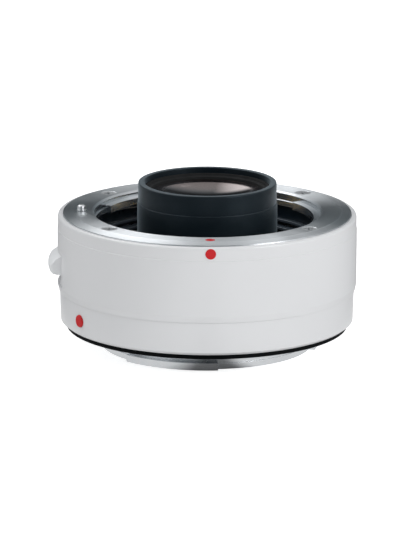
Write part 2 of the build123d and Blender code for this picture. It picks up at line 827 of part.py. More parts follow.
# Rear group: two cemented elements, set in from the camera side against a spacer and a baffle
rear_glass_r = rear_bore_r - glass_fit
baffle_z = middle_lip_z - seat_lip_t - seat_lip_w - waist_h - baffle_t
baffle_hole_r = baffle_bore_r - baffle_w
crown_6 = baffle_z - glass_6_drop
crown_6b = crown_6 - glass_6_front_sag - glass_6_edge - glass_6_back_sag
crown_7b = crown_6b - cement - glass_7_t
spacer_r = baffle_bore_r - seat_fit
spacer_low_z = crown_6 - fall(glass_6_front_sag, rear_glass_r, spacer_r - spacer_wall) + seat_fit
rear_shoulder_z = crown_6 - fall(glass_6_front_sag, rear_glass_r, baffle_bore_r) + seat_fit
rear_retainer_top_z = crown_7b - glass_7_back_sag - seat_fit
barrel_end_z = rear_retainer_top_z - rear_retainer_t - tail_rim_h

with BuildPart() as lens_element_6:
    glass(rear_glass_r, crown_6, glass_6_front_sag, crown_6b, -glass_6_back_sag)
save(lens_element_6, "lens_element_6")

with BuildPart() as lens_element_7:
    glass(rear_glass_r, crown_6b - cement, -glass_6_back_sag, crown_7b, glass_7_back_sag)
save(lens_element_7, "lens_element_7")

with BuildPart() as light_baffle:
    turn([
        (baffle_hole_r, baffle_z + baffle_t / 2),
        (baffle_hole_r + baffle_t, baffle_z),
        (spacer_r, baffle_z),
        (spacer_r, baffle_z + baffle_t),
        (baffle_hole_r + baffle_t, baffle_z + baffle_t),
    ])
save(light_baffle, "light_baffle")

with BuildPart() as rear_spacer:
    turn(band(spacer_r - spacer_wall, spacer_r, spacer_low_z, baffle_z))
save(rear_spacer, "rear_spacer")

with BuildPart() as rear_retaining_ring:
    turn(band(rear_bore_r - rear_retainer_w, rear_bore_r - seat_fit,
              rear_retainer_top_z - rear_retainer_t, rear_retainer_top_z))
save(rear_retaining_ring, "rear_retaining_ring")

# Barrel: a stepped tube with a flange that screws up under the deck
with BuildPart() as lens_barrel:
    turn([
        (rear_bore_r, barrel_end_z),
        (barrel_tail_r, barrel_end_z),
        (barrel_tail_r, flange_low_z),
        (barrel_flange_r, flange_low_z),
        (barrel_flange_r, deck_under_z),
        (sleeve_r, deck_under_z),
        (sleeve_r, cap_end_z),
        (middle_bore_r, cap_end_z),
        (middle_bore_r, middle_lip_z),
        (middle_bore_r - seat_lip_w, middle_lip_z),
        (middle_bore_r - seat_lip_w, middle_lip_z - seat_lip_t),
        (middle_bore_r, middle_lip_z - seat_lip_t - seat_lip_w),
        (middle_bore_r, baffle_z + baffle_t),
        (baffle_bore_r, baffle_z + baffle_t),
        (baffle_bore_r, rear_shoulder_z),
        (rear_bore_r, rear_shoulder_z),
    ])
    for screw_deg in barrel_screw_degs:
        screw_hole(small_screw, polar(barrel_screw_circle_r, screw_deg), flange_low_z + screw_sunk, up=-1)
save(lens_barrel, "lens_barrel")

with BuildPart() as barrel_screws:
    for screw_deg in barrel_screw_degs:
        drive_screw(small_screw, polar(barrel_screw_circle_r, screw_deg), flange_low_z + screw_sunk, up=-1)
save(barrel_screws, "barrel_screws")

# Cover round the rear glass: a dished plate with a ridge against stray light
cover_ridge_r = barrel_tail_r + cover_ridge_inset
cover_flange_r = cover_skirt_r + cover_flange_w
with BuildPart() as rear_cover:
    turn([
        (barrel_tail_r + slide_fit, cover_under_z),
        (cover_skirt_r, cover_under_z),
        (cover_skirt_r, plate_t),
        (cover_flange_r, plate_t),
        (cover_flange_r, plate_t + cover_flange_t),
        (cover_skirt_r - cover_t, plate_t + cover_flange_t),
        (cover_skirt_r - cover_t, cover_under_z + cover_t),
        (barrel_tail_r + slide_fit, cover_under_z + cover_t),
    ])
    turn(band(cover_ridge_r, cover_ridge_r + cover_ridge_w, cover_under_z - cover_ridge_h, cover_under_z))
save(rear_cover, "rear_cover")

# Camera side contacts: flush pads in a curved block
pad_block_outer_r = cover_skirt_r - pad_block_gap
pad_block_inner_r = pad_block_outer_r - pad_block_w
pad_circle_r = (pad_block_inner_r + pad_block_outer_r) / 2
pad_pitch_deg = math.degrees(pad_pitch / pad_circle_r)
pad_degs = [contact_deg + (i - (pad_count - 1) / 2) * pad_pitch_deg for i in range(pad_count)]
pad_span_deg = math.degrees(((pad_count - 1) * pad_pitch + 2 * pad_block_end) / pad_circle_r)
pad_low_z = cover_under_z - pad_block_h
with BuildPart() as rear_contact_block:
    turn_part(band(pad_block_inner_r, pad_block_outer_r, pad_low_z, cover_under_z),
              contact_deg, pad_span_deg)
    for pad_deg in pad_degs:
        with BuildSketch(Plane.XY.offset(pad_low_z)):
            with Locations(Location(polar(pad_circle_r, pad_deg), (0, 0, pad_deg))):
                Rectangle(pad_length + seat_fit, pad_width + seat_fit)
        extrude(amount=pad_t, mode=Mode.SUBTRACT)
save(rear_contact_block, "rear_contact_block")

with BuildPart() as rear_contact_pads:
    for pad_deg in pad_degs:
        with BuildSketch(Plane.XY.offset(pad_low_z - pad_proud)):
            with Locations(Location(polar(pad_circle_r, pad_deg), (0, 0, pad_deg))):
                Rectangle(pad_length, pad_width)
        extrude(amount=pad_t + pad_proud)
save(rear_contact_pads, "rear_contact_pads")

# Lens side contacts: a block with a row of sprung pins
contact_degs = [
    contact_deg + (i - (contact_count - 1) / 2) * contact_pitch_deg for i in range(contact_count)]
collar_top_z = block_top_z - contact_collar_drop
pin_low_z = block_top_z + contact_rise - contact_length
block_floor_z = pin_low_z - contact_travel - running_gap
with BuildPart() as front_contact_block:
    turn_part(band(block_foot_inner_r, low_ledge_r - slide_fit, deck_top_z, foot_top_z),
              contact_deg, foot_span_deg)
    turn_part(band(block_inner_r, low_ledge_r - slide_fit, foot_top_z, foot_top_z + slide_fit),
              contact_deg, block_span_deg)
    turn_part(band(block_inner_r, block_outer_r, foot_top_z + slide_fit, block_top_z),
              contact_deg, block_span_deg)
    for pin_deg in contact_degs:
        pin_place = polar(contact_circle_r, pin_deg)
        post(contact_tip_r + slide_fit, pin_place, block_floor_z, block_top_z, Mode.SUBTRACT)
        post(contact_collar_r + slide_fit, pin_place, block_floor_z, block_top_z - block_roof_t,
             Mode.SUBTRACT)
    for screw_deg in block_screw_degs:
        screw_hole(small_screw, polar(block_screw_circle_r, screw_deg), foot_top_z - screw_sunk)
save(front_contact_block, "front_contact_block")

with BuildPart() as contact_block_screws:
    for screw_deg in block_screw_degs:
        drive_screw(small_screw, polar(block_screw_circle_r, screw_deg), foot_top_z - screw_sunk)
save(contact_block_screws, "contact_block_screws")

for i, pin_deg in enumerate(contact_degs, start=1):
    pin_place = polar(contact_circle_r, pin_deg)
    with BuildPart() as contact_pin:
        post(contact_tip_r, pin_place, pin_low_z, block_top_z + contact_rise)
        post(contact_collar_r, pin_place, collar_top_z - contact_collar_t, collar_top_z)
        tip = contact_pin.faces().sort_by(Axis.Z)[-1]
        fillet(tip.edges(), radius=contact_tip_round)
    save(contact_pin, f"contact_pin_{i:02d}")

# Electronics: a board under the deck, its chips and the strip that joins it to the lens side contacts
with BuildPart() as circuit_board:
    turn_part(band(board_inner_r, board_outer_r, board_under_z, board_top_z), contact_deg, board_span_deg)
    for screw_deg in board_screw_degs:
        screw_hole(small_screw, polar(board_middle_r, screw_deg), board_under_z, up=-1)
save(circuit_board, "circuit_board")

with BuildPart() as board_chips:
    for chip_deg in chip_degs:
        with BuildSketch(Plane.XY.offset(board_under_z - chip_t)):
            with Locations(Location(polar(board_middle_r, chip_deg), (0, 0, chip_deg))):
                Rectangle(chip_size, chip_size)
        extrude(amount=chip_t)
save(board_chips, "board_chips")

with BuildPart() as board_screws:
    for screw_deg in board_screw_degs:
        drive_screw(small_screw, polar(board_middle_r, screw_deg), board_under_z, up=-1)
save(board_screws, "board_screws")

with BuildPart() as flex_cable:
    with BuildSketch(Plane.YZ.offset(-flex_w / 2)) as strip:
        with BuildLine():
            Polyline(
                (flex_r - flex_t / 2, deck_top_z),
                (flex_r - flex_t / 2, board_top_z),
                (flex_r + flex_foot, board_top_z),
                (flex_r + flex_foot, board_top_z + flex_t),
                (flex_r + flex_t / 2, board_top_z + flex_t),
                (flex_r + flex_t / 2, deck_top_z),
                close=True,
            )
        make_face()
    extrude(amount=flex_w)
save(flex_cable, "flex_cable")

# Release lever: a thumb tab outside, a stem through the slot and an apron that closes the slot
apron_r = shell_inner_r - slide_fit
tab_r = pocket_floor_r + slide_fit
with BuildPart() as release_lever:
    turn_part([
        (tab_r, lever_low_z),
        (lever_out_r, lever_low_z),
        (lever_out_r, lever_low_z + lever_tip_h),
        (tab_r, lever_high_z),
    ], lever_deg, lever_span_deg)
    tab_edges = release_lever.edges().filter_by(
        lambda edge: math.hypot(edge.center().X, edge.center().Y) > lever_out_r - lever_end_fillet)
    fillet(tab_edges.filter_by(Axis.Z), radius=lever_end_fillet)
    outer_edges = release_lever.edges().filter_by(
        lambda edge: math.hypot(edge.center().X, edge.center().Y) > lever_out_r - lever_edge_fillet)
    fillet(outer_edges.filter_by(Axis.Z, reverse=True), radius=lever_edge_fillet)
    turn_part(band(apron_r - apron_t, tab_r, stem_low_z, stem_low_z + stem_h), lever_deg, stem_span_deg)
    turn_part(band(apron_r - apron_t, apron_r, apron_low_z, apron_high_z), lever_deg, apron_span_deg)
save(release_lever, "release_lever")

# Slide bracket: it joins the lever to the lock pin
bracket_r = apron_r - apron_t
bracket_low_z = deck_top_z + lever_travel + running_gap
arm_high_z = ring_under_z - pin_guide_h - slide_fit
arm_low_z = arm_high_z - bracket_t
with BuildPart() as slide_bracket:
    turn_part(band(bracket_r - bracket_t, bracket_r, bracket_low_z, arm_high_z), lever_deg, bracket_span_deg)
    turn_part(band(well_outer_r + slide_fit, bracket_r, arm_low_z, arm_high_z), lever_deg, bracket_span_deg)
    post(lock_pin_r, polar(lock_pin_circle_r, lever_deg), arm_low_z, arm_high_z, Mode.SUBTRACT)
save(slide_bracket, "slide_bracket")

with BuildPart() as lock_pin:
    post(lock_pin_r, polar(lock_pin_circle_r, lever_deg), arm_low_z - running_gap,
         front_face_z + lock_pin_rise)
    tip = lock_pin.faces().sort_by(Axis.Z)[-1]
    fillet(tip.edges(), radius=lock_pin_round)
save(lock_pin, "lock_pin")

# Return springs: a pair that stand on the deck and lift the bracket
coil_height = arm_low_z - deck_top_z - 2 * spring_wire_r
spring_circle_r = (well_outer_r + bracket_r - bracket_t) / 2
spring_spread_deg = math.degrees(spring_spread / spring_circle_r)
with BuildPart() as lever_springs:
    for spring_deg in (lever_deg - spring_spread_deg, lever_deg + spring_spread_deg):
        spring_foot = polar(spring_circle_r, spring_deg, deck_top_z + spring_wire_r)
        coil = Helix(coil_height / spring_turns, coil_height, spring_r, center=spring_foot, mode=Mode.PRIVATE)
        with BuildSketch(Plane(origin=coil @ 0, z_dir=coil % 0)) as wire:
            Circle(spring_wire_r)
        sweep(wire.sketch, path=coil)
save(lever_springs, "lever_springs")
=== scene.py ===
# %% [markdown]
# # A white teleconverter, dressed over its frame
#
# A teleconverter is a short tube that sits between a camera and its lens. The exact solids come from a
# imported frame, in metres, with the optical axis on Z and zero at the face that meets the camera.
# This file gives those solids their finishes and remakes, with softer edges, the pieces that catch
# the light. The frame is loaded first, because every place below is read from it.

# %% Load the frame
import math

import bmesh
import bpy
from mathutils import Matrix, Vector


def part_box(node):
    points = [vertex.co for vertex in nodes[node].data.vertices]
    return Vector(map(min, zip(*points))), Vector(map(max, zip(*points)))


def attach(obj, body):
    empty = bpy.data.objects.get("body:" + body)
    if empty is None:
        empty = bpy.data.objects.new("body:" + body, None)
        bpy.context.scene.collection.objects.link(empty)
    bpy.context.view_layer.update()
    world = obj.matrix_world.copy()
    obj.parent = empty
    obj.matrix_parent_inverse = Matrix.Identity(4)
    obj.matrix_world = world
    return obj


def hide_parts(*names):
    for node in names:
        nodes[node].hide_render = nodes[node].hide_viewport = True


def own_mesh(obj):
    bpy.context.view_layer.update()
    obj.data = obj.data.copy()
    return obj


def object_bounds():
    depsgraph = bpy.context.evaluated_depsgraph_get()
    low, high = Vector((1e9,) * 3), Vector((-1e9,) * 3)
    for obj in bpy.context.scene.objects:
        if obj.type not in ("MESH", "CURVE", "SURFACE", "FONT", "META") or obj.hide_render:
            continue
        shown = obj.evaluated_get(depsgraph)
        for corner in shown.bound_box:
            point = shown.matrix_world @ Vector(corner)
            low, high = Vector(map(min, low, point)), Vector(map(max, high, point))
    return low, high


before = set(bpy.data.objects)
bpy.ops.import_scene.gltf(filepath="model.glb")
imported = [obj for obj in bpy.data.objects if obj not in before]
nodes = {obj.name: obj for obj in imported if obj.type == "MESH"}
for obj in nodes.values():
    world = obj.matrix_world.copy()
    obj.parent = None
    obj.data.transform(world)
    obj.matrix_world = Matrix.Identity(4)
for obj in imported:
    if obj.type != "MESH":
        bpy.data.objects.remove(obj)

MM = 0.001
cad_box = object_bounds()

# %% [markdown]
# ## Camera
#
# A long lens flattens the view, so the ellipses of the rings keep almost the same shape from top to
# bottom. The camera below was found by matching those ellipses: it stands a little over a metre away,
# looks down by less than fourteen degrees and leans by a quarter of a degree. It could be aimed with a
# constraint, but a matrix made from three directions is exact and easy to read.

# %% Place the camera
CAMERA_DISTANCE = 1225.0
CAMERA_DROP_DEG = 13.87
CAMERA_YAW_DEG = 1.3
CAMERA_LEAN_DEG = 0.25
CAMERA_SIDE = -1.2
CAMERA_AIM_Z = 12.55
CAMERA_LENS = 351.6

yaw = math.radians(CAMERA_YAW_DEG)
drop = math.radians(CAMERA_DROP_DEG)
away = Vector((-math.sin(yaw), -math.cos(yaw), 0))
across = Vector((math.cos(yaw), -math.sin(yaw), 0))
aim = (across * CAMERA_SIDE + Vector((0, 0, CAMERA_AIM_Z))) * MM
eye = aim + (away + Vector((0, 0, math.tan(drop)))) * CAMERA_DISTANCE * MM
camera_data = bpy.data.cameras.new("camera")
camera_data.lens = CAMERA_LENS
camera_data.clip_start = 0.1
camera = bpy.data.objects.new("camera", camera_data)
bpy.context.scene.collection.objects.link(camera)
turn_to_aim = (aim - eye).to_track_quat("-Z", "Y").to_matrix().to_4x4()
lean = Matrix.Rotation(math.radians(CAMERA_LEAN_DEG), 4, "Z")
camera.matrix_world = Matrix.Translation(eye) @ turn_to_aim @ lean
bpy.context.scene.camera = camera
bpy.context.scene.view_settings.view_transform = "Standard"
print("camera", tuple(round(v, 3) for v in eye))

# %% [markdown]
# ## Studio
#
# The converter is shown on plain white with soft light from the front right. The world is a pale grey
# where it lights the object, and pure white only where the camera or the glass looks straight at it.
# Polished metal shows what stands round it, so what mirrors see is built like a small studio: dark at
# the horizon, grey towards both sides, a pale ceiling that is brightest overhead, a window at the back
# and a strip light at the right. Dark mirrored parts are a little bluer than bright ones, as they are
# in real studio pictures of steel.
#
# Two small helpers come first. They add shader nodes and join them, in the world, the floor and the
# finishes alike.

# %% Helpers: add nodes and join them
def joined(tree, kind, *sources):
    """Add a node and link or set its first inputs in turn. Returns the node."""
    node = tree.nodes.new(kind)
    for socket, source in zip(node.inputs, sources):
        if isinstance(source, bpy.types.NodeSocket):
            tree.links.new(source, socket)
        elif source is not None:
            socket.default_value = source
    return node


def math_node(tree, operation, first, second=0.0):
    """The result of a Math node whose inputs are sockets or plain numbers."""
    node = joined(tree, "ShaderNodeMath", first, second)
    node.operation = operation
    return node.outputs[0]


print("node helpers ready")

# %% Helpers: shape the mirrored studio
WHITE = (1, 1, 1, 1)

world = bpy.data.worlds.new("studio")
bpy.context.scene.world = world
world.use_nodes = True
sky = world.node_tree
sky.nodes.clear()
direction = sky.nodes.new("ShaderNodeTexCoord")
split = joined(sky, "ShaderNodeSeparateXYZ", direction.outputs["Generated"])
sky_x, sky_y, sky_z = split.outputs


def eased(source, edge, level=1.0):
    """A soft rise from nothing at the edge's start to the level at its end."""
    ramp = joined(sky, "ShaderNodeMapRange", source, *edge, 0.0, level)
    ramp.interpolation_type = "SMOOTHSTEP"
    return ramp.outputs["Result"]


def most(*levels):
    """The highest of several levels."""
    highest = levels[0]
    for level in levels[1:]:
        highest = math_node(sky, "MAXIMUM", highest, level)
    return highest


def product(*levels):
    """Several levels multiplied together."""
    result = levels[0]
    for level in levels[1:]:
        result = math_node(sky, "MULTIPLY", result, level)
    return result


print("world", world.name)

# %% Place what mirrors see
# Each edge is where a light starts and where it reaches its level, along one axis of the direction.
DARK_LEVEL = 0.04
SIDE_LEVEL = 0.5
CEILING_LEVEL = 0.6
CEILING_RISE = (0.34, 0.55)
CEILING_FRONT = (-0.7, -0.1)
OVERHEAD_LEVEL = 0.9
OVERHEAD_RISE = (0.6, 0.85)
OVERHEAD_FRONT = (-0.3, 0.05)
WINDOW_LEVEL = 2.0
WINDOW_RIGHT = (0.04, -0.1)
WINDOW_LEFT = (-0.36, -0.16)
WINDOW_FOOT = (0.36, 0.46)
WINDOW_HEAD = (0.75, 0.55)
WINDOW_BACK = (0.1, 0.4)
STRIP_LEVEL = 1.4
STRIP_SIDE = (0.65, 0.9)
STRIP_HEAD = (0.7, 0.4)
STRIP_BACK = (0.2, -0.1)

sides = product(math_node(sky, "ABSOLUTE", sky_x), SIDE_LEVEL)
ceiling = product(eased(sky_z, CEILING_RISE), eased(sky_y, CEILING_FRONT, CEILING_LEVEL))
overhead = product(eased(sky_z, OVERHEAD_RISE), eased(sky_y, OVERHEAD_FRONT, OVERHEAD_LEVEL))
window = product(eased(sky_x, WINDOW_RIGHT), eased(sky_x, WINDOW_LEFT), eased(sky_z, WINDOW_FOOT),
                 eased(sky_z, WINDOW_HEAD), eased(sky_y, WINDOW_BACK, WINDOW_LEVEL))
strip = product(eased(sky_x, STRIP_SIDE), eased(sky_z, STRIP_HEAD), eased(sky_y, STRIP_BACK, STRIP_LEVEL))
mirror_level = most(sides, ceiling, overhead, window, strip, DARK_LEVEL)
print("mirrored lights", 5)

# %% Light the world
SKY_LEVEL = 0.62
SKY_COLOUR = (0.98, 0.99, 1.0, 1)
MIRROR_DARK_COLOUR = (0.72, 0.9, 1.0, 1)
MIRROR_BRIGHT_COLOUR = (0.97, 0.99, 1.0, 1)
MIRROR_BRIGHT_FROM = 0.6

sky_plain = joined(sky, "ShaderNodeBackground", SKY_COLOUR, SKY_LEVEL)
sky_tint = joined(sky, "ShaderNodeValToRGB", mirror_level)
tint_dark, tint_bright = sky_tint.color_ramp.elements
tint_dark.color = MIRROR_DARK_COLOUR
tint_bright.color = MIRROR_BRIGHT_COLOUR
tint_bright.position = MIRROR_BRIGHT_FROM
sky_mirror = joined(sky, "ShaderNodeBackground", sky_tint.outputs["Color"], mirror_level)
sky_seen = joined(sky, "ShaderNodeBackground", WHITE, 1.0)
path = sky.nodes.new("ShaderNodeLightPath")
mirrors = joined(sky, "ShaderNodeMixShader", path.outputs["Is Glossy Ray"], sky_plain.outputs[0],
                 sky_mirror.outputs[0])
either = math_node(sky, "MAXIMUM", path.outputs["Is Camera Ray"], path.outputs["Is Transmission Ray"])
seen = joined(sky, "ShaderNodeMixShader", either, mirrors.outputs[0], sky_seen.outputs[0])
joined(sky, "ShaderNodeOutputWorld", seen.outputs[0])
print("sky level", SKY_LEVEL)

# %% [markdown]
# ## Lamps and floor
#
# Three square soft boxes light the paint: a strong one at the front right, a weak one at the front left
# and one above the back. The floor catches the shadow. It glows white only where the camera or the
# glass looks at it. Seen in mirrors it is dark, as the shadow under the object is, but for two pale
# cards that lie at the left and the right and draw the bright lines on the lower mount.

# %% Set the lamps
LAMPS = [  # name, place in metres, size in metres, power in watts
    ("key_softbox", (0.85, -0.75, 0.45), 0.5, 5.6),
    ("fill_softbox", (-0.9, -0.6, 0.35), 0.6, 0.8),
    ("top_softbox", (-0.5, 0.35, 0.95), 0.7, 3.8),
]
for name, place, size, power in LAMPS:
    lamp_data = bpy.data.lights.new(name, "AREA")
    lamp_data.shape = "SQUARE"
    lamp_data.size = size
    lamp_data.energy = power
    lamp = bpy.data.objects.new(name, lamp_data)
    bpy.context.scene.collection.objects.link(lamp)
    lamp.matrix_world = (Matrix.Translation(place)
                         @ (aim - Vector(place)).to_track_quat("-Z", "Y").to_matrix().to_4x4())
print("lamps", len(LAMPS))

# %% Lay the floor
FLOOR_HALF = 3.0
FLOOR_GLOW = 0.7
FLOOR_PALE = 0.86
FLOOR_IN_MIRRORS = 0.2
FLOOR_MIRRORED = 0.03
CARD_MIRRORED = 0.95
LEFT_CARD_EDGE = (-0.004, -0.012)
RIGHT_CARD_EDGE = (0.007, 0.012)
CARD_ENDS = (0.045, 0.055)

floor_shape = bmesh.new()
bmesh.ops.create_grid(floor_shape, x_segments=1, y_segments=1, size=FLOOR_HALF)
bmesh.ops.translate(floor_shape, verts=floor_shape.verts, vec=(0, 0, cad_box[0].z))
floor_mesh = bpy.data.meshes.new("floor")
floor_shape.to_mesh(floor_mesh)
floor_shape.free()
floor = bpy.data.objects.new("floor", floor_mesh)
bpy.context.scene.collection.objects.link(floor)
print("floor at", round(cad_box[0].z / MM, 2), "mm")

# %% Paint the floor and its cards
floor_finish = bpy.data.materials.new("white_floor")
floor_finish.use_nodes = True
floor_tree = floor_finish.node_tree
floor_shader = floor_tree.nodes["Principled BSDF"]
floor_shader.inputs["Roughness"].default_value = 0.9
floor_shader.inputs["Specular IOR Level"].default_value = 0.1
floor_shader.inputs["Emission Color"].default_value = WHITE
floor_path = floor_tree.nodes.new("ShaderNodeLightPath")
floor_tone = joined(floor_tree, "ShaderNodeMapRange", floor_path.outputs["Is Glossy Ray"], 0.0, 1.0,
                    FLOOR_PALE, FLOOR_IN_MIRRORS)
floor_tree.links.new(floor_tone.outputs["Result"], floor_shader.inputs["Base Color"])
floor_direct = math_node(floor_tree, "MAXIMUM", floor_path.outputs["Is Camera Ray"],
                         floor_path.outputs["Is Transmission Ray"])
floor_place = floor_tree.nodes.new("ShaderNodeTexCoord")
floor_split = joined(floor_tree, "ShaderNodeSeparateXYZ", floor_place.outputs["Object"])
left_card = joined(floor_tree, "ShaderNodeMapRange", floor_split.outputs["X"], *LEFT_CARD_EDGE,
                   FLOOR_MIRRORED, CARD_MIRRORED)
right_card = joined(floor_tree, "ShaderNodeMapRange", floor_split.outputs["X"], *RIGHT_CARD_EDGE,
                    FLOOR_MIRRORED, CARD_MIRRORED)
out_from_middle = math_node(floor_tree, "ABSOLUTE", floor_split.outputs["X"])
card_ends = joined(floor_tree, "ShaderNodeMapRange", out_from_middle, *CARD_ENDS, 1.0, 0.0)
both_cards = math_node(floor_tree, "MAXIMUM", left_card.outputs["Result"], right_card.outputs["Result"])
cards = math_node(floor_tree, "MULTIPLY", both_cards, card_ends.outputs["Result"])
floor_mirrored = math_node(floor_tree, "MULTIPLY", floor_path.outputs["Is Glossy Ray"], cards)
floor_seen = math_node(floor_tree, "MAXIMUM", floor_direct, floor_mirrored)
floor_tree.links.new(math_node(floor_tree, "MULTIPLY", floor_seen, FLOOR_GLOW),
                     floor_shader.inputs["Emission Strength"])
floor.data.materials.append(floor_finish)
print("floor finish", floor_finish.name)

# %% [markdown]
# ## Surface effects
#
# Paint, moulded plastic and turned metal are never perfectly even. Three small shader groups hold
# what they share: a fine grain, a broad unevenness left by handling, and the circular marks that a
# lathe leaves. Each is built once and placed in a material with its own scale. They read Object
# coordinates in metres, so their scales are written as the size of a mark in millimetres.

# %% Group: fine grain
def group_with(name, inputs, outputs):
    """An empty shader group with float sockets."""
    group = bpy.data.node_groups.new(name, "ShaderNodeTree")
    for label, value in inputs:
        socket = group.interface.new_socket(name=label, in_out="INPUT", socket_type="NodeSocketFloat")
        socket.default_value = value
    for label in outputs:
        group.interface.new_socket(name=label, in_out="OUTPUT", socket_type="NodeSocketFloat")
    return group, group.nodes.new("NodeGroupInput"), group.nodes.new("NodeGroupOutput")


def grain_group():
    """Noise whose marks have a size in millimetres."""
    group, given, result = group_with("fine_grain", [("Mark mm", 0.2)], ["Height"])
    place = group.nodes.new("ShaderNodeTexCoord")
    noise = group.nodes.new("ShaderNodeTexNoise")
    noise.inputs["Detail"].default_value = 3.0
    noise.inputs["Roughness"].default_value = 0.55
    group.links.new(place.outputs["Object"], noise.inputs["Vector"])
    group.links.new(math_node(group, "DIVIDE", 1 / MM, given.outputs["Mark mm"]), noise.inputs["Scale"])
    group.links.new(noise.outputs["Fac"], result.inputs["Height"])
    return group


fine_grain = grain_group()
print("group", fine_grain.name)

# %% Group: handling marks
CLOUD_LOW = 0.3
CLOUD_HIGH = 0.7


def handling_group():
    """A soft cloudy mask, with low and high as its two ends."""
    group, given, result = group_with(
        "handling_marks", [("Patch mm", 9.0), ("Low", 0.3), ("High", 0.4)], ["Value"])
    place = group.nodes.new("ShaderNodeTexCoord")
    noise = group.nodes.new("ShaderNodeTexNoise")
    noise.inputs["Detail"].default_value = 4.0
    noise.inputs["Distortion"].default_value = 0.6
    group.links.new(place.outputs["Object"], noise.inputs["Vector"])
    group.links.new(math_node(group, "DIVIDE", 1 / MM, given.outputs["Patch mm"]), noise.inputs["Scale"])
    spread = group.nodes.new("ShaderNodeMapRange")
    spread.inputs["From Min"].default_value = CLOUD_LOW
    spread.inputs["From Max"].default_value = CLOUD_HIGH
    group.links.new(noise.outputs["Fac"], spread.inputs["Value"])
    group.links.new(given.outputs["Low"], spread.inputs["To Min"])
    group.links.new(given.outputs["High"], spread.inputs["To Max"])
    group.links.new(spread.outputs["Result"], result.inputs["Value"])
    return group


handling_marks = handling_group()
print("group", handling_marks.name)

# %% Group: turning marks
def turning_group():
    """Rings round the axis, uneven in depth, from the distance to the axis and the height."""
    group, given, result = group_with("turning_marks", [("Pitch mm", 0.12)], ["Height"])
    place = group.nodes.new("ShaderNodeTexCoord")
    parts = group.nodes.new("ShaderNodeSeparateXYZ")
    group.links.new(place.outputs["Object"], parts.inputs["Vector"])
    square_x = math_node(group, "MULTIPLY", parts.outputs["X"], parts.outputs["X"])
    square_y = math_node(group, "MULTIPLY", parts.outputs["Y"], parts.outputs["Y"])
    radius = math_node(group, "SQRT", math_node(group, "ADD", square_x, square_y))
    along = math_node(group, "ADD", radius, parts.outputs["Z"])
    marks = math_node(group, "DIVIDE", math_node(group, "DIVIDE", along, MM), given.outputs["Pitch mm"])
    noise = group.nodes.new("ShaderNodeTexNoise")
    noise.noise_dimensions = "1D"
    noise.inputs["Scale"].default_value = 1.0
    noise.inputs["Detail"].default_value = 2.0
    group.links.new(marks, noise.inputs["W"])
    group.links.new(noise.outputs["Fac"], result.inputs["Height"])
    return group


turning_marks = turning_group()
print("group", turning_marks.name)

# %% [markdown]
# ## Finishes
#
# Each finish is a Principled shader with a cloudy roughness and a bump from one of the groups. The
# helper below wires those two, because every finish needs them. Colours and gloss are set on the
# shader's own sockets. The paint is a cool white with a faint orange peel, and the nose is blue-black
# anodised metal, whose soft sheen lifts its edges. The land of the lens mount is turned steel, whose
# marks stretch each reflection outwards, and the upright faces and the camera side are polished.

# %% Helper: a finish with uneven gloss and a bump
EDGE_SAMPLES = 6


def finish(name, colour, gloss, patch, bump_group, bump_size, bump_depth, edge=0.0, **plain):
    """A material. gloss is the low and high roughness. Depth and edge softness are in millimetres."""
    material = bpy.data.materials.new(name)
    material.use_nodes = True
    tree = material.node_tree
    shader = tree.nodes["Principled BSDF"]
    shader.inputs["Base Color"].default_value = (*colour, 1)
    for label, value in plain.items():
        shader.inputs[label.replace("_", " ")].default_value = value
    handling = tree.nodes.new("ShaderNodeGroup")
    handling.node_tree = handling_marks
    handling.inputs["Patch mm"].default_value = patch
    handling.inputs["Low"].default_value, handling.inputs["High"].default_value = gloss
    tree.links.new(handling.outputs["Value"], shader.inputs["Roughness"])
    relief = tree.nodes.new("ShaderNodeGroup")
    relief.node_tree = bump_group
    relief.inputs[0].default_value = bump_size
    bump = tree.nodes.new("ShaderNodeBump")
    bump.inputs["Strength"].default_value = 1.0
    bump.inputs["Distance"].default_value = bump_depth * MM
    tree.links.new(relief.outputs["Height"], bump.inputs["Height"])
    if edge:
        soft_edge = tree.nodes.new("ShaderNodeBevel")
        soft_edge.samples = EDGE_SAMPLES
        soft_edge.inputs["Radius"].default_value = edge * MM
        tree.links.new(soft_edge.outputs["Normal"], bump.inputs["Normal"])
    tree.links.new(bump.outputs["Normal"], shader.inputs["Normal"])
    return material


white_paint = finish("white_paint_coat", (0.70, 0.705, 0.715), (0.30, 0.38), 14.0,
                     fine_grain, 0.5, 0.0012, edge=0.12, Coat_Weight=0.15, Coat_Roughness=0.12)
print("finish", white_paint.name)

# %% Metal finishes
turned_steel = finish("turned_steel", (0.74, 0.76, 0.78), (0.34, 0.42), 7.0,
                      turning_marks, 0.16, 0.0012, edge=0.1, Metallic=1.0, Anisotropic=0.9,
                      Anisotropic_Rotation=0.25)
bright_screw = finish("bright_screw", (0.8, 0.81, 0.82), (0.3, 0.38), 2.0,
                      fine_grain, 0.15, 0.001, edge=0.06, Metallic=1.0)
spring_steel = finish("spring_steel", (0.35, 0.35, 0.36), (0.25, 0.4), 2.0,
                      fine_grain, 0.2, 0.001, edge=0.05, Metallic=1.0)
gold_plate = finish("gold_plate", (0.83, 0.6, 0.25), (0.15, 0.25), 1.5,
                    fine_grain, 0.2, 0.0006, Metallic=1.0)
polished_steel = finish("polished_steel", (0.74, 0.76, 0.78), (0.2, 0.26), 7.0,
                        turning_marks, 0.3, 0.0006, edge=0.1, Metallic=1.0)
print("metals", 5)

# %% Turn the grain of the steel round the axis
steel_tree = turned_steel.node_tree
tangent = steel_tree.nodes.new("ShaderNodeTangent")
tangent.direction_type = "RADIAL"
tangent.axis = "Z"
steel_tree.links.new(tangent.outputs["Tangent"], steel_tree.nodes["Principled BSDF"].inputs["Tangent"])
print("grain round", tangent.axis)

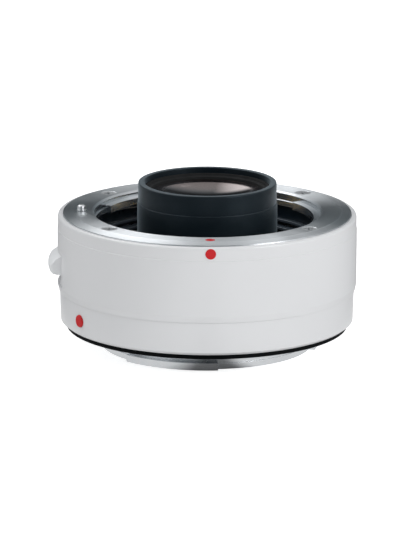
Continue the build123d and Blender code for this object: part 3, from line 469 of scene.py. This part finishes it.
# %% Dark finishes
blue_black = finish("blue_black_anodised", (0.003, 0.0065, 0.0095), (0.34, 0.42), 6.0,
                    fine_grain, 0.18, 0.002, edge=0.1, Specular_IOR_Level=0.36,
                    Specular_Tint=(0.72, 0.88, 1.0, 1), Sheen_Weight=0.5, Sheen_Roughness=0.3,
                    Sheen_Tint=(0.75, 0.9, 1.0, 1))
well_black = finish("well_black", (0.012, 0.024, 0.036), (0.26, 0.36), 5.0,
                    turning_marks, 0.5, 0.001, edge=0.1)
moulded_black = finish("moulded_black", (0.014, 0.014, 0.015), (0.4, 0.55), 3.0,
                       fine_grain, 0.25, 0.003, edge=0.08)
seal_rubber = finish("seal_rubber", (0.001, 0.0018, 0.0024), (0.6, 0.75), 5.0, fine_grain, 0.3, 0.003,
                     edge=0.1, Specular_IOR_Level=0.08)
board_green = finish("board_green", (0.012, 0.09, 0.04), (0.3, 0.4), 4.0, fine_grain, 0.4, 0.002)
flex_film = finish("flex_film", (0.4, 0.2, 0.04), (0.25, 0.35), 3.0, fine_grain, 0.4, 0.002)
print("dark finishes", 6)

# %% Marks and glass
red_enamel = finish("red_enamel", (0.55, 0.012, 0.016), (0.4, 0.5), 1.5,
                    fine_grain, 0.3, 0.001, Specular_IOR_Level=0.3)
lever_white = finish("lever_white", (0.82, 0.83, 0.84), (0.35, 0.45), 5.0,
                     fine_grain, 0.3, 0.004, Coat_Weight=0.1)
# Much lighter than the well's black: this colour paints the highlight that the ledge edges catch.
ledge_painted_highlight = finish("ledge_painted_highlight", (0.07, 0.09, 0.11), (0.25, 0.35), 5.0,
                     turning_marks, 0.5, 0.001)
matt_black = finish("matt_black_paint", (0.003, 0.0035, 0.004), (0.75, 0.85), 2.0,
                    fine_grain, 0.15, 0.002, edge=0.12, Specular_IOR_Level=0.35)
clear_glass = finish("clear_glass", (0.95, 0.93, 0.93), (0.0, 0.02), 8.0,
                     fine_grain, 3.0, 0.00002, Transmission_Weight=1.0, IOR=1.6)
coated_glass = finish("coated_front_glass", (0.03, 0.024, 0.024), (0.04, 0.07), 9.0,
                      fine_grain, 4.0, 0.00002, Transmission_Weight=0.85, IOR=2.3,
                      Specular_Tint=(1.0, 0.74, 0.7, 1), Coat_Weight=0.4, Coat_Roughness=0.05, Coat_IOR=1.7)
print("marks and glass", 4)

# %% [markdown]
# ## Carried-over solids
#
# Most of the solids already have their real shape, so they only need a finish. A table from finish to
# node names keeps that in one place. The finish replaces the plain one that came with the frame.

# %% Give the solids their finishes
FINISHES = [
    (white_paint, ["front_band", "main_shell", "rear_band"]),
    (turned_steel, ["lens_mount_ring"]),
    (polished_steel, ["camera_mount_ring"]),
    (bright_screw, ["lens_mount_screws", "camera_mount_screws", "barrel_screws", "board_screws",
                    "contact_block_screws", "bayonet_stop_pin", "lock_pin"]),
    (spring_steel, ["mount_leaf_springs", "lever_springs", "slide_bracket"]),
    (matt_black, ["front_retaining_ring"]),
    (blue_black, ["nose_cap", "nose_tube", "lens_barrel", "middle_retaining_ring",
                  "rear_retaining_ring", "light_baffle", "rear_spacer"]),
    (well_black, ["chassis"]),
    (moulded_black, ["rear_cover", "front_contact_block", "rear_contact_block", "board_chips"]),
    (seal_rubber, ["rear_seal"]),
    (red_enamel, ["lens_index_dot", "flange_index_dot", "camera_index_dot"]),
    (lever_white, ["release_lever"]),
    (gold_plate, ["rear_contact_pads"] + [f"contact_pin_{i:02d}" for i in range(1, 12)]),
    (board_green, ["circuit_board"]),
    (flex_film, ["flex_cable"]),
    (coated_glass, ["lens_element_1"]),
    (clear_glass, [f"lens_element_{i}" for i in range(2, 8)]),
]
for material, names in FINISHES:
    for name in names:
        mesh = nodes[name].data
        mesh.materials.clear()
        mesh.materials.append(material)
print("dressed", sum(len(names) for material, names in FINISHES), "of", len(nodes))

# %% [markdown]
# ## Turned pieces
#
# Every ring of a lens mount comes off a lathe, so each piece here starts as the outline of its wall,
# written as corners of radius, height and rounding in millimetres. A vertex bevel rounds the corners,
# and a spin turns the outline round the axis. A lathe part has no perfectly sharp edge, and it is the
# tiny roundings that draw the bright lines which make metal look real. The main sizes are read from
# the solids, so that each new piece sits exactly where the one it stands for did.

# %% Helpers: read a solid, gather parts
STEPS = 192
ROUND_STEPS = 3
WELD = 1e-6


def reach(node):
    """A round solid's outer radius, lowest height and highest height, in millimetres."""
    low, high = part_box(node)
    return high.x / MM, low.z / MM, high.z / MM


def pour(part_shape, shape):
    """Move everything from one mesh that is being built into another."""
    part = bpy.data.meshes.new("part")
    part_shape.to_mesh(part)
    part_shape.free()
    shape.from_mesh(part)
    bpy.data.meshes.remove(part)


print("steps in a full turn", STEPS)

# %% Helper: spin an outline
def add_ring(shape, corners, middle_deg=0.0, sweep_deg=360.0):
    """Spin a closed outline of (radius, height, rounding) corners into the mesh, all round or in part."""
    ring = bmesh.new()
    points = [ring.verts.new((r * MM, 0, z * MM)) for r, z, rounding in corners]
    ring.faces.new(points)
    for point, (r, z, rounding) in zip(points, corners):
        if rounding:
            bmesh.ops.bevel(ring, geom=[point], offset=rounding * MM, segments=ROUND_STEPS, profile=0.5,
                            affect="VERTICES", material=-1)
    bmesh.ops.delete(ring, geom=ring.faces[:], context="FACES_ONLY")
    full = sweep_deg == 360.0
    start = Matrix.Rotation(math.radians(0.0 if full else middle_deg - sweep_deg / 2), 3, "Z")
    bmesh.ops.rotate(ring, verts=ring.verts, cent=(0, 0, 0), matrix=start)
    bmesh.ops.spin(ring, geom=ring.verts[:] + ring.edges[:], cent=(0, 0, 0), axis=(0, 0, 1),
                   dvec=(0, 0, 0), angle=math.radians(sweep_deg),
                   steps=max(4, round(STEPS * sweep_deg / 360)), use_merge=full)
    bmesh.ops.remove_doubles(ring, verts=ring.verts, dist=WELD)
    if not full:
        bmesh.ops.holes_fill(ring, edges=[edge for edge in ring.edges if edge.is_boundary], sides=0)
    bmesh.ops.recalc_face_normals(ring, faces=ring.faces)
    pour(ring, shape)


print("outlines spin round the axis")

# %% Helpers: make a piece and carve it
def new_piece(name, shape, material):
    """An object made from a mesh that is being built, with one finish."""
    mesh = bpy.data.meshes.new(name)
    shape.to_mesh(mesh)
    shape.free()
    mesh.materials.append(material)
    piece = bpy.data.objects.new(name, mesh)
    bpy.context.scene.collection.objects.link(piece)
    return piece


def work_in(piece):
    """Work the piece's modifiers into its mesh for good."""
    worked = bpy.data.meshes.new_from_object(piece.evaluated_get(bpy.context.evaluated_depsgraph_get()))
    piece.modifiers.clear()
    piece.data = worked


def carve(piece, cutter):
    """Take the cutter's shape out of the piece, and the cutter out of the scene."""
    change = piece.modifiers.new("carve", "BOOLEAN")
    change.solver = "EXACT"
    change.object = cutter
    work_in(piece)
    bpy.data.objects.remove(cutter)


print("pieces can be carved")

# %% Helper: seat a piece on its body
SMOOTH_DEG = 32.0


def seat(piece, body, *solids):
    """Smooth the piece with crisp edges, let it ride with a body and stand for its solids."""
    piece.data.shade_smooth()
    piece.data.set_sharp_from_angle(angle=math.radians(SMOOTH_DEG))
    even = piece.modifiers.new("even_shading", "WEIGHTED_NORMAL")
    even.keep_sharp = True
    work_in(piece)
    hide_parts(*solids)
    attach(piece, body)
    print(piece.name, len(piece.data.polygons), "faces")


print("edges sharper than", SMOOTH_DEG, "degrees stay crisp")

# %% [markdown]
# ## White lens side band
#
# The band is an aluminium ring that closes round the steel mount. Its lip is a narrow flat with a small
# rounding, just under the edge of the steel. It catches a bright line, and the upright edge of the
# steel shows as a dark one beside it. The foot of the band meets the main shell almost flush, so the
# joint is faint.

# %% Turn the band
BAND_LIP_DROP = 0.38
BAND_LIP_ROUND = 0.55
BAND_LIP_INNER_ROUND = 0.08
BAND_FOOT_W = 0.3
BAND_FOOT_DROP = 0.14
BAND_INNER_INSET = 2.55
LENS_PLATE_T = 2.3
RING_SEAT_FIT = 0.03
FINE_ROUND = 0.05

mount_r, mount_low_z, mount_z = reach("lens_mount_ring")
band_r, _, band_top_z = reach("front_band")
seam_z = reach("main_shell")[2]
plate_under_z = mount_z - LENS_PLATE_T
lip_z = band_top_z - BAND_LIP_DROP
band_shape = bmesh.new()
add_ring(band_shape, [
    (mount_r + RING_SEAT_FIT, lip_z, BAND_LIP_INNER_ROUND),
    (mount_r + RING_SEAT_FIT, plate_under_z, 0),
    (band_r - BAND_INNER_INSET, plate_under_z, 0),
    (band_r - BAND_INNER_INSET, seam_z, 0),
    (band_r - BAND_FOOT_W, seam_z, 0),
    (band_r - BAND_FOOT_W, seam_z - BAND_FOOT_DROP, 0),
    (band_r, seam_z - BAND_FOOT_DROP, 0),
    (band_r, lip_z, BAND_LIP_ROUND),
])
band = new_piece("white_lip_band", band_shape, white_paint)
seat(band, "housing", "front_band")

# %% [markdown]
# ## Lens side bayonet
#
# The mount is one steel turning. A flat land carries the lens, and a shallow step runs round outside
# it, falls away a little and ends in a bare upright edge. A collar goes down into the body, with a
# narrow ledge round its throat. The upright faces in the throat are smoother than the land, so they
# mirror the dark well. Three lugs stand inside the throat. Each is thicker over the part that takes
# the load and thins out where the lens's own lug enters. The screw heads sink into cones, the lock pin
# has its own hole and the red mark has a shallow seat, so those are carved out after the spin.

# %% Turn the plate and its collar
LAND_INSET = 2.4
STEP_RUN = 0.25
STEP_DROP = 0.12
STEP_FALL = 0.2
PLATE_EDGE_ROUND = 0.04
THROAT_LEDGE_DROP = 2.0
THROAT_LEDGE_W = 0.35
THROAT_R = 27.0
THROAT_CHAMFER = 0.5
THROAT_CHAMFER_DROP = 0.35
THROAT_ROUND = 0.12
THROAT_LEDGE_ROUND = 0.1
COLLAR_R = 28.5

ring_shape = bmesh.new()
add_ring(ring_shape, [
    (THROAT_R - THROAT_LEDGE_W, mount_low_z, FINE_ROUND),
    (COLLAR_R, mount_low_z, FINE_ROUND),
    (COLLAR_R, plate_under_z, 0),
    (mount_r, plate_under_z, 0),
    (mount_r, mount_z - STEP_DROP - STEP_FALL, PLATE_EDGE_ROUND),
    (mount_r - LAND_INSET + STEP_RUN, mount_z - STEP_DROP, 0),
    (mount_r - LAND_INSET, mount_z, FINE_ROUND),
    (THROAT_R + THROAT_CHAMFER, mount_z, THROAT_ROUND),
    (THROAT_R, mount_z - THROAT_CHAMFER_DROP, THROAT_ROUND),
    (THROAT_R, mount_z - THROAT_LEDGE_DROP, 0),
    (THROAT_R - THROAT_LEDGE_W, mount_z - THROAT_LEDGE_DROP, THROAT_LEDGE_ROUND),
])
lens_ring = new_piece("bayonet_ring", ring_shape, turned_steel)
print("lens ring", len(lens_ring.data.polygons), "faces")

# %% Carve the screw cones, the pin hole and the mark's seat
SCREW_CIRCLE_R = 30.0
SCREW_DEGS = (38.5, 141.5, 218.5, 321.5)
CONE_R = 1.95
CONE_DEPTH = 1.15
CONE_SHAFT_R = 0.9
PIN_DEG = 180.0
PIN_HOLE_R = 1.35
MARK_DEG = 270.0
MARK_SEAT_R = 1.18
MARK_SEAT_DEPTH = 0.3
HOLE_STEPS = 48
OVER = 0.5
cone_slope = (CONE_R - CONE_SHAFT_R) / CONE_DEPTH


def add_cone(shape, place, low_r, high_r, low_z, high_z):
    """Add an upright cone or post to the mesh, at a place round the axis."""
    radius, deg = place
    middle = Vector((radius * math.cos(math.radians(deg)), radius * math.sin(math.radians(deg)),
                     (low_z + high_z) / 2)) * MM
    bmesh.ops.create_cone(shape, cap_ends=True, segments=HOLE_STEPS, radius1=low_r * MM,
                          radius2=high_r * MM, depth=(high_z - low_z) * MM,
                          matrix=Matrix.Translation(middle))


holes = bmesh.new()
for screw_deg in SCREW_DEGS:
    add_cone(holes, (SCREW_CIRCLE_R, screw_deg), CONE_SHAFT_R, CONE_R + cone_slope * OVER,
             mount_z - CONE_DEPTH, mount_z + OVER)
add_cone(holes, (SCREW_CIRCLE_R, PIN_DEG), PIN_HOLE_R, PIN_HOLE_R, mount_low_z - OVER, mount_z + OVER)
add_cone(holes, (SCREW_CIRCLE_R, MARK_DEG), MARK_SEAT_R, MARK_SEAT_R,
         mount_z - MARK_SEAT_DEPTH, mount_z + OVER)
carve(lens_ring, new_piece("hole_shapes", holes, turned_steel))
print("carved", len(lens_ring.data.polygons), "faces")

# %% Add the lugs
LUG_DEGS = (9.0, 129.0, 249.0)
LUG_SPAN_DEG = 51.0
LUG_THICK_DEG = 18.8
LUG_INNER_R = 25.4
LUG_ROOT_R = 27.8
LUG_TOP_DROP = 1.3
LUG_RELIEF = 0.6
LUG_ROUND = 0.2

lug_top_z = mount_z - LUG_TOP_DROP
lugs = bmesh.new()
lugs.from_mesh(lens_ring.data)
for lug_deg in LUG_DEGS:
    thick_middle_deg = lug_deg + (LUG_SPAN_DEG - LUG_THICK_DEG) / 2
    thin_middle_deg = lug_deg - LUG_THICK_DEG / 2
    add_ring(lugs, [
        (LUG_INNER_R, mount_low_z, FINE_ROUND),
        (LUG_ROOT_R, mount_low_z, 0),
        (LUG_ROOT_R, lug_top_z, 0),
        (LUG_INNER_R, lug_top_z, LUG_ROUND),
    ], thick_middle_deg, LUG_THICK_DEG)
    add_ring(lugs, [
        (LUG_INNER_R, mount_low_z + LUG_RELIEF, FINE_ROUND),
        (LUG_ROOT_R, mount_low_z + LUG_RELIEF, 0),
        (LUG_ROOT_R, lug_top_z, 0),
        (LUG_INNER_R, lug_top_z, LUG_ROUND),
    ], thin_middle_deg, LUG_SPAN_DEG - LUG_THICK_DEG)
lugs.to_mesh(lens_ring.data)
lugs.free()
print("lugs", len(LUG_DEGS))

# %% Polish the upright faces in the throat
UPRIGHT = 0.3

lens_ring.data.materials.append(polished_steel)
for face in lens_ring.data.polygons:
    in_throat = face.center.xy.length < (THROAT_R + FINE_ROUND) * MM
    if in_throat and abs(face.normal.z) < UPRIGHT:
        face.material_index = 1
seat(lens_ring, "housing", "lens_mount_ring")

# %% [markdown]
# ## Camera side bayonet
#
# The same lathe work turned over: a plate that lies on the camera, a short pilot, and a neck with three
# lugs that stand outwards. The neck steps in a little above the lugs, where the camera's own lugs run.
#
# The lugs cross the neck, so they join the ring after its holes are carved. An exact Boolean on a mesh
# whose own parts cross can give a different result from run to run, and drop a lug.

# %% Turn the plate and the neck
CAMERA_PLATE_T = 1.8
PILOT_R = 26.95
PILOT_H = 1.25
NECK_R = 25.3
NECK_STEP = 0.18
NECK_STEP_RISE = 1.45
NECK_BORE_R = 23.6
EDGE_ROUND = 0.15

camera_r, neck_low_z, _ = reach("camera_mount_ring")
camera_shape = bmesh.new()
add_ring(camera_shape, [
    (NECK_BORE_R, neck_low_z, FINE_ROUND),
    (NECK_R, neck_low_z, EDGE_ROUND),
    (NECK_R, neck_low_z + NECK_STEP_RISE, FINE_ROUND),
    (NECK_R - NECK_STEP, neck_low_z + NECK_STEP_RISE, 0),
    (NECK_R - NECK_STEP, -PILOT_H, 0),
    (PILOT_R, -PILOT_H, EDGE_ROUND),
    (PILOT_R, 0, 0),
    (camera_r, 0, EDGE_ROUND),
    (camera_r, CAMERA_PLATE_T, 0),
    (NECK_BORE_R, CAMERA_PLATE_T, FINE_ROUND),
])
camera_ring = new_piece("camera_bayonet_ring", camera_shape, polished_steel)
print("camera ring", len(camera_ring.data.polygons), "faces")

# %% Carve the camera side's screw cones and pin pocket
CAMERA_SCREW_CIRCLE_R = 29.3
CAMERA_SCREW_DEGS = (45.0, 135.0, 225.0, 315.0)
PIN_POCKET_R = 1.6
PIN_POCKET_DEPTH = 1.5

camera_holes = bmesh.new()
for screw_deg in CAMERA_SCREW_DEGS:
    add_cone(camera_holes, (CAMERA_SCREW_CIRCLE_R, screw_deg), CONE_R + cone_slope * OVER, CONE_SHAFT_R,
             -OVER, CONE_DEPTH)
add_cone(camera_holes, (SCREW_CIRCLE_R, PIN_DEG), PIN_POCKET_R, PIN_POCKET_R, -OVER, PIN_POCKET_DEPTH)
carve(camera_ring, new_piece("camera_hole_shapes", camera_holes, polished_steel))
print("carved", len(camera_ring.data.polygons), "faces")

# %% Join the camera side lugs
CAMERA_LUG_R = 26.8
CAMERA_LUG_T = 1.9

camera_lugs = bmesh.new()
camera_lugs.from_mesh(camera_ring.data)
for lug_deg in LUG_DEGS:
    add_ring(camera_lugs, [
        (NECK_R - 2 * NECK_STEP, neck_low_z + FINE_ROUND, 0),
        (CAMERA_LUG_R, neck_low_z + FINE_ROUND, EDGE_ROUND),
        (CAMERA_LUG_R, neck_low_z + CAMERA_LUG_T, EDGE_ROUND),
        (NECK_R - 2 * NECK_STEP, neck_low_z + CAMERA_LUG_T, 0),
    ], lug_deg, LUG_SPAN_DEG)
camera_lugs.to_mesh(camera_ring.data)
camera_lugs.free()
seat(camera_ring, "housing", "camera_mount_ring")

# %% [markdown]
# ## Rubber seal
#
# A soft ring hangs below the white band and keeps dust out of the joint with the camera. Moulded rubber
# has generous roundings and a thin lip that spreads when it is pressed.

# %% Turn the seal
SEAL_INNER_GAP = 0.1
SEAL_LIP_W = 0.5
SEAL_HEEL_Z = 0.3
SEAL_ROUND = 0.2

seal_r, seal_low_z, seal_top_z = reach("rear_seal")
seal_shape = bmesh.new()
add_ring(seal_shape, [
    (camera_r + SEAL_INNER_GAP, seal_top_z, 0),
    (camera_r + SEAL_INNER_GAP, SEAL_HEEL_Z, FINE_ROUND),
    (seal_r - SEAL_LIP_W, SEAL_HEEL_Z, 0),
    (seal_r - SEAL_LIP_W, seal_low_z, SEAL_ROUND),
    (seal_r, seal_low_z, SEAL_ROUND),
    (seal_r, seal_top_z, 0),
])
seal = new_piece("soft_seal", seal_shape, seal_rubber)
seat(seal, "housing", "rear_seal")

# %% [markdown]
# ## Nose
#
# The nose is two turned, anodised cylinders. The cap's rim is a narrow flat with a rounding on both
# sides, and the tube below it is a hair wider, so its upper edge shows as a thin light line under the
# dark joint. Inside the mouth a threaded ring holds the front glass. Its face steps down towards the
# glass in two cones, and the edge between them is the fine bright ring seen there.

# %% Turn the cap and the tube
CAP_RIM_ROUND = 0.3
CAP_MOUTH_ROUND = 0.2
CAP_FOOT_ROUND = 0.06
CAP_BORE_R = 15.0
TUBE_TOP_ROUND = 0.12
TUBE_WALL = 1.3

cap_r, cap_low_z, cap_top_z = reach("nose_cap")
tube_r, tube_low_z, tube_top_z = reach("nose_tube")
cap_shape = bmesh.new()
add_ring(cap_shape, [
    (CAP_BORE_R, cap_low_z, 0),
    (cap_r, cap_low_z, CAP_FOOT_ROUND),
    (cap_r, cap_top_z, CAP_RIM_ROUND),
    (CAP_BORE_R, cap_top_z, CAP_MOUTH_ROUND),
])
cap = new_piece("nose_rim_cap", cap_shape, blue_black)
seat(cap, "housing", "nose_cap")

tube_shape = bmesh.new()
add_ring(tube_shape, [
    (tube_r - TUBE_WALL, tube_low_z, 0),
    (tube_r, tube_low_z, 0),
    (tube_r, tube_top_z, TUBE_TOP_ROUND),
    (tube_r - TUBE_WALL, tube_top_z, 0),
])
tube = new_piece("nose_lower_tube", tube_shape, blue_black)
seat(tube, "housing", "nose_tube")

# %% Turn the glass holding ring
HOLD_EDGE_R = 14.45
HOLD_EDGE_Z = 33.05
HOLD_EDGE_ROUND = 0.1
HOLD_OUTER_FALL = 0.05
HOLD_STEP_W = 0.3
HOLD_GLASS_LAP = 0.35
HOLD_GLASS_FALL = 0.15
HOLD_LIP_R = 13.25
HOLD_LIP_FALL = 0.9

hold_r, hold_low_z, hold_top_z = reach("front_retaining_ring")
glass_r = reach("lens_element_1")[0]
hold_shape = bmesh.new()
add_ring(hold_shape, [
    (HOLD_LIP_R, hold_low_z, 0),
    (hold_r, hold_low_z, 0),
    (hold_r, HOLD_EDGE_Z - HOLD_OUTER_FALL, 0),
    (HOLD_EDGE_R, HOLD_EDGE_Z, HOLD_EDGE_ROUND),
    (HOLD_EDGE_R - HOLD_STEP_W, hold_top_z, 0),
    (glass_r - HOLD_GLASS_LAP, hold_top_z - HOLD_GLASS_FALL, FINE_ROUND),
    (HOLD_LIP_R, hold_top_z - HOLD_LIP_FALL, 0),
])
hold = new_piece("glass_holding_ring", hold_shape, matt_black)
seat(hold, "housing", "front_retaining_ring")

# %% [markdown]
# ## Front glass
#
# In the photograph the glass is bright on the right and darker at the back, as a shallow dish is when
# the window stands behind on the left. So the face is a hollow arc, here a row of corners worked out
# from the radius of the curve, and spun like the metal pieces. A crown would show the window on the
# other side. Its coating turns the reflection a warm pink.

# %% Grind the front glass
DISH_RIM_R = 13.2
DISH_RIM_Z = 31.8
DISH_CURVE_R = 50.0
DISH_T = 1.0
DISH_POINTS = 28

rim_fall = DISH_CURVE_R - math.sqrt(DISH_CURVE_R**2 - DISH_RIM_R**2)
dish_corners = []
for step in range(DISH_POINTS + 1):
    dish_point_r = DISH_RIM_R * step / DISH_POINTS
    dish_rise = DISH_CURVE_R - math.sqrt(DISH_CURVE_R**2 - dish_point_r**2)
    dish_corners.append((dish_point_r, DISH_RIM_Z - rim_fall + dish_rise, 0))
dish_back_z = dish_corners[0][1] - DISH_T
dish_corners += [(DISH_RIM_R, dish_back_z, 0), (0, dish_back_z, 0)]
dish_shape = bmesh.new()
add_ring(dish_shape, dish_corners)
dish = new_piece("front_glass_dish", dish_shape, coated_glass)
seat(dish, "housing", "lens_element_1")

# %% [markdown]
# ## Ledges in the well
#
# Between the nose and the mount the black well steps down. The moulding's edges are rounded, and they
# show as fine light arcs in the dark. Two thin rings on the well's wall stand for the edges that can
# be seen from outside. Their finish is much lighter than the well's black, so the arcs are a painted
# highlight in their colour. Their places were found by matching the arcs in the photograph.

# %% Lay the ledge rings
LEDGES = [("upper_well_ledge", 26.2, 20.6), ("lower_well_ledge", 24.8, 19.0)]  # name, radius, height
LEDGE_T = 0.6
LEDGE_ROUND = 0.18
WELL_R = 27.5

for name, ledge_r, ledge_z in LEDGES:
    ledge_shape = bmesh.new()
    add_ring(ledge_shape, [
        (ledge_r, ledge_z - LEDGE_T, 0),
        (WELL_R, ledge_z - LEDGE_T, 0),
        (WELL_R, ledge_z, 0),
        (ledge_r, ledge_z, LEDGE_ROUND),
    ])
    seat(new_piece(name, ledge_shape, ledge_painted_highlight), "housing")

# %% [markdown]
# ## Red index mark
#
# The marks are drops of red enamel in shallow seats. The one on the front band stands a little proud,
# as a round button with a soft rim, so it is remade here, facing outwards below the lens mount. The
# small one in the steel and the one on the rear band keep their solids.

# %% Set the mark on the front band
MARK_PROUD = 0.12
MARK_ROUND = 0.1
MARK_SUNK = 0.6
MARK_STEPS = 64

front_low, front_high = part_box("lens_index_dot")
front_mark_r = (front_high.x - front_low.x) / 2 / MM
front_mark_z = (front_low.z + front_mark_r * MM) / MM
mark = bmesh.new()
bmesh.ops.create_cone(mark, cap_ends=True, segments=MARK_STEPS, radius1=front_mark_r * MM,
                      radius2=front_mark_r * MM, depth=(MARK_SUNK + MARK_PROUD) * MM)
outer_rim = [edge for edge in mark.edges if all(vert.co.z > 0 for vert in edge.verts)]
bmesh.ops.bevel(mark, geom=outer_rim, offset=MARK_ROUND * MM, segments=ROUND_STEPS, profile=0.5,
                affect="EDGES", material=-1)
mark_middle_r = band_r + (MARK_PROUD - MARK_SUNK) / 2
mark_place = (Matrix.Rotation(math.radians(MARK_DEG), 4, "Z")
              @ Matrix.Translation((mark_middle_r * MM, 0, front_mark_z * MM))
              @ Matrix.Rotation(math.radians(90), 4, "Y"))
bmesh.ops.transform(mark, matrix=mark_place, verts=mark.verts)
bmesh.ops.recalc_face_normals(mark, faces=mark.faces)
seat(new_piece("lens_mark", mark, red_enamel), "housing", "lens_index_dot")

# %% [markdown]
# ## Release lever
#
# The thumb tab is a moulded wedge with a sloped top and a well rounded foot. A stem goes in through the
# slot, and a curved apron behind the slot keeps dust out in every position. All three are one moulding
# that slides with the lock pin.

# %% Mould the lever
# The stem and the apron are given by inner radius, foot, outer radius, top and width in degrees.
LEVER_DEG = 180.0
TAB_SPAN_DEG = 20.4
TAB_HEEL_R = 35.25
TAB_HEEL_CLEAR = 0.1
TAB_LOW_Z = 12.9
TAB_HIGH_Z = 17.6
TAB_TIP_H = 2.9
TAB_FOOT_ROUND = 1.4
TAB_CREST_ROUND = 0.8
TAB_END_ROUND = 0.45
STEM = (33.35, 13.2, 35.3, 16.0, 14.0)
APRON = (33.35, 10.6, 33.95, 18.6, 22.0)

tab_out_r = -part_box("release_lever")[0].x / MM
lever_shape = bmesh.new()
add_ring(lever_shape, [
    (TAB_HEEL_R, TAB_LOW_Z, 0),
    (tab_out_r, TAB_LOW_Z, TAB_FOOT_ROUND),
    (tab_out_r, TAB_LOW_Z + TAB_TIP_H, TAB_CREST_ROUND),
    (TAB_HEEL_R, TAB_HIGH_Z, 0),
], LEVER_DEG, TAB_SPAN_DEG)
end_faces = sorted(lever_shape.faces, key=lambda face: face.calc_area())[-2:]
end_edges = [edge for face in end_faces for edge in face.edges
             if min(vert.co.xy.length for vert in edge.verts) > (TAB_HEEL_R + TAB_HEEL_CLEAR) * MM]
bmesh.ops.bevel(lever_shape, geom=end_edges, offset=TAB_END_ROUND * MM, segments=ROUND_STEPS,
                profile=0.5, affect="EDGES", material=-1)
for inner_r, low_z, outer_r, high_z, span_deg in (STEM, APRON):
    add_ring(lever_shape, [(inner_r, low_z, 0), (outer_r, low_z, 0), (outer_r, high_z, 0),
                           (inner_r, high_z, 0)], LEVER_DEG, span_deg)
lever = new_piece("release_thumb_tab", lever_shape, lever_white)
seat(lever, "release", "release_lever")

# %% [markdown]
# ## Return springs
#
# Two small coil springs stand on the deck and press the latch bracket up. Each is a round wire swept
# round its own axis while it climbs.

# %% Wind the springs
SPRING_R = 1.1
SPRING_WIRE_R = 0.18
SPRING_WIRE_SIDES = 10
SPRING_TURNS = 4
SPRING_TURN_STEPS = 28

springs_low, springs_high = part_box("lever_springs")
springs_h = (springs_high.z - springs_low.z) / MM
wire_climb = springs_h - 2 * SPRING_WIRE_R
spring_y = springs_high.y / MM - SPRING_R - SPRING_WIRE_R
spring_x = springs_high.x / MM - SPRING_R - SPRING_WIRE_R
wind_steps = SPRING_TURNS * SPRING_TURN_STEPS
springs_shape = bmesh.new()
for side in (-1, 1):
    coil = bmesh.new()
    foot = Vector((spring_x, side * spring_y, springs_low.z / MM + SPRING_WIRE_R)) * MM
    wire_place = (Matrix.Translation(foot + Vector((SPRING_R * MM, 0, 0)))
                  @ Matrix.Rotation(math.radians(90), 4, "X"))
    bmesh.ops.create_circle(coil, segments=SPRING_WIRE_SIDES, radius=SPRING_WIRE_R * MM,
                            matrix=wire_place)
    bmesh.ops.spin(coil, geom=coil.verts[:] + coil.edges[:], cent=foot, axis=(0, 0, 1),
                   dvec=(0, 0, wire_climb / wind_steps * MM), angle=math.radians(360 * SPRING_TURNS),
                   steps=wind_steps)
    bmesh.ops.remove_doubles(coil, verts=coil.verts, dist=WELD)
    bmesh.ops.holes_fill(coil, edges=[edge for edge in coil.edges if edge.is_boundary], sides=0)
    bmesh.ops.recalc_face_normals(coil, faces=coil.faces)
    pour(coil, springs_shape)
springs = new_piece("return_springs", springs_shape, spring_steel)
seat(springs, "housing", "lever_springs")
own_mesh(springs)
print("springs", round(springs_h, 2), "mm high at", round(spring_x, 2), round(spring_y, 2))
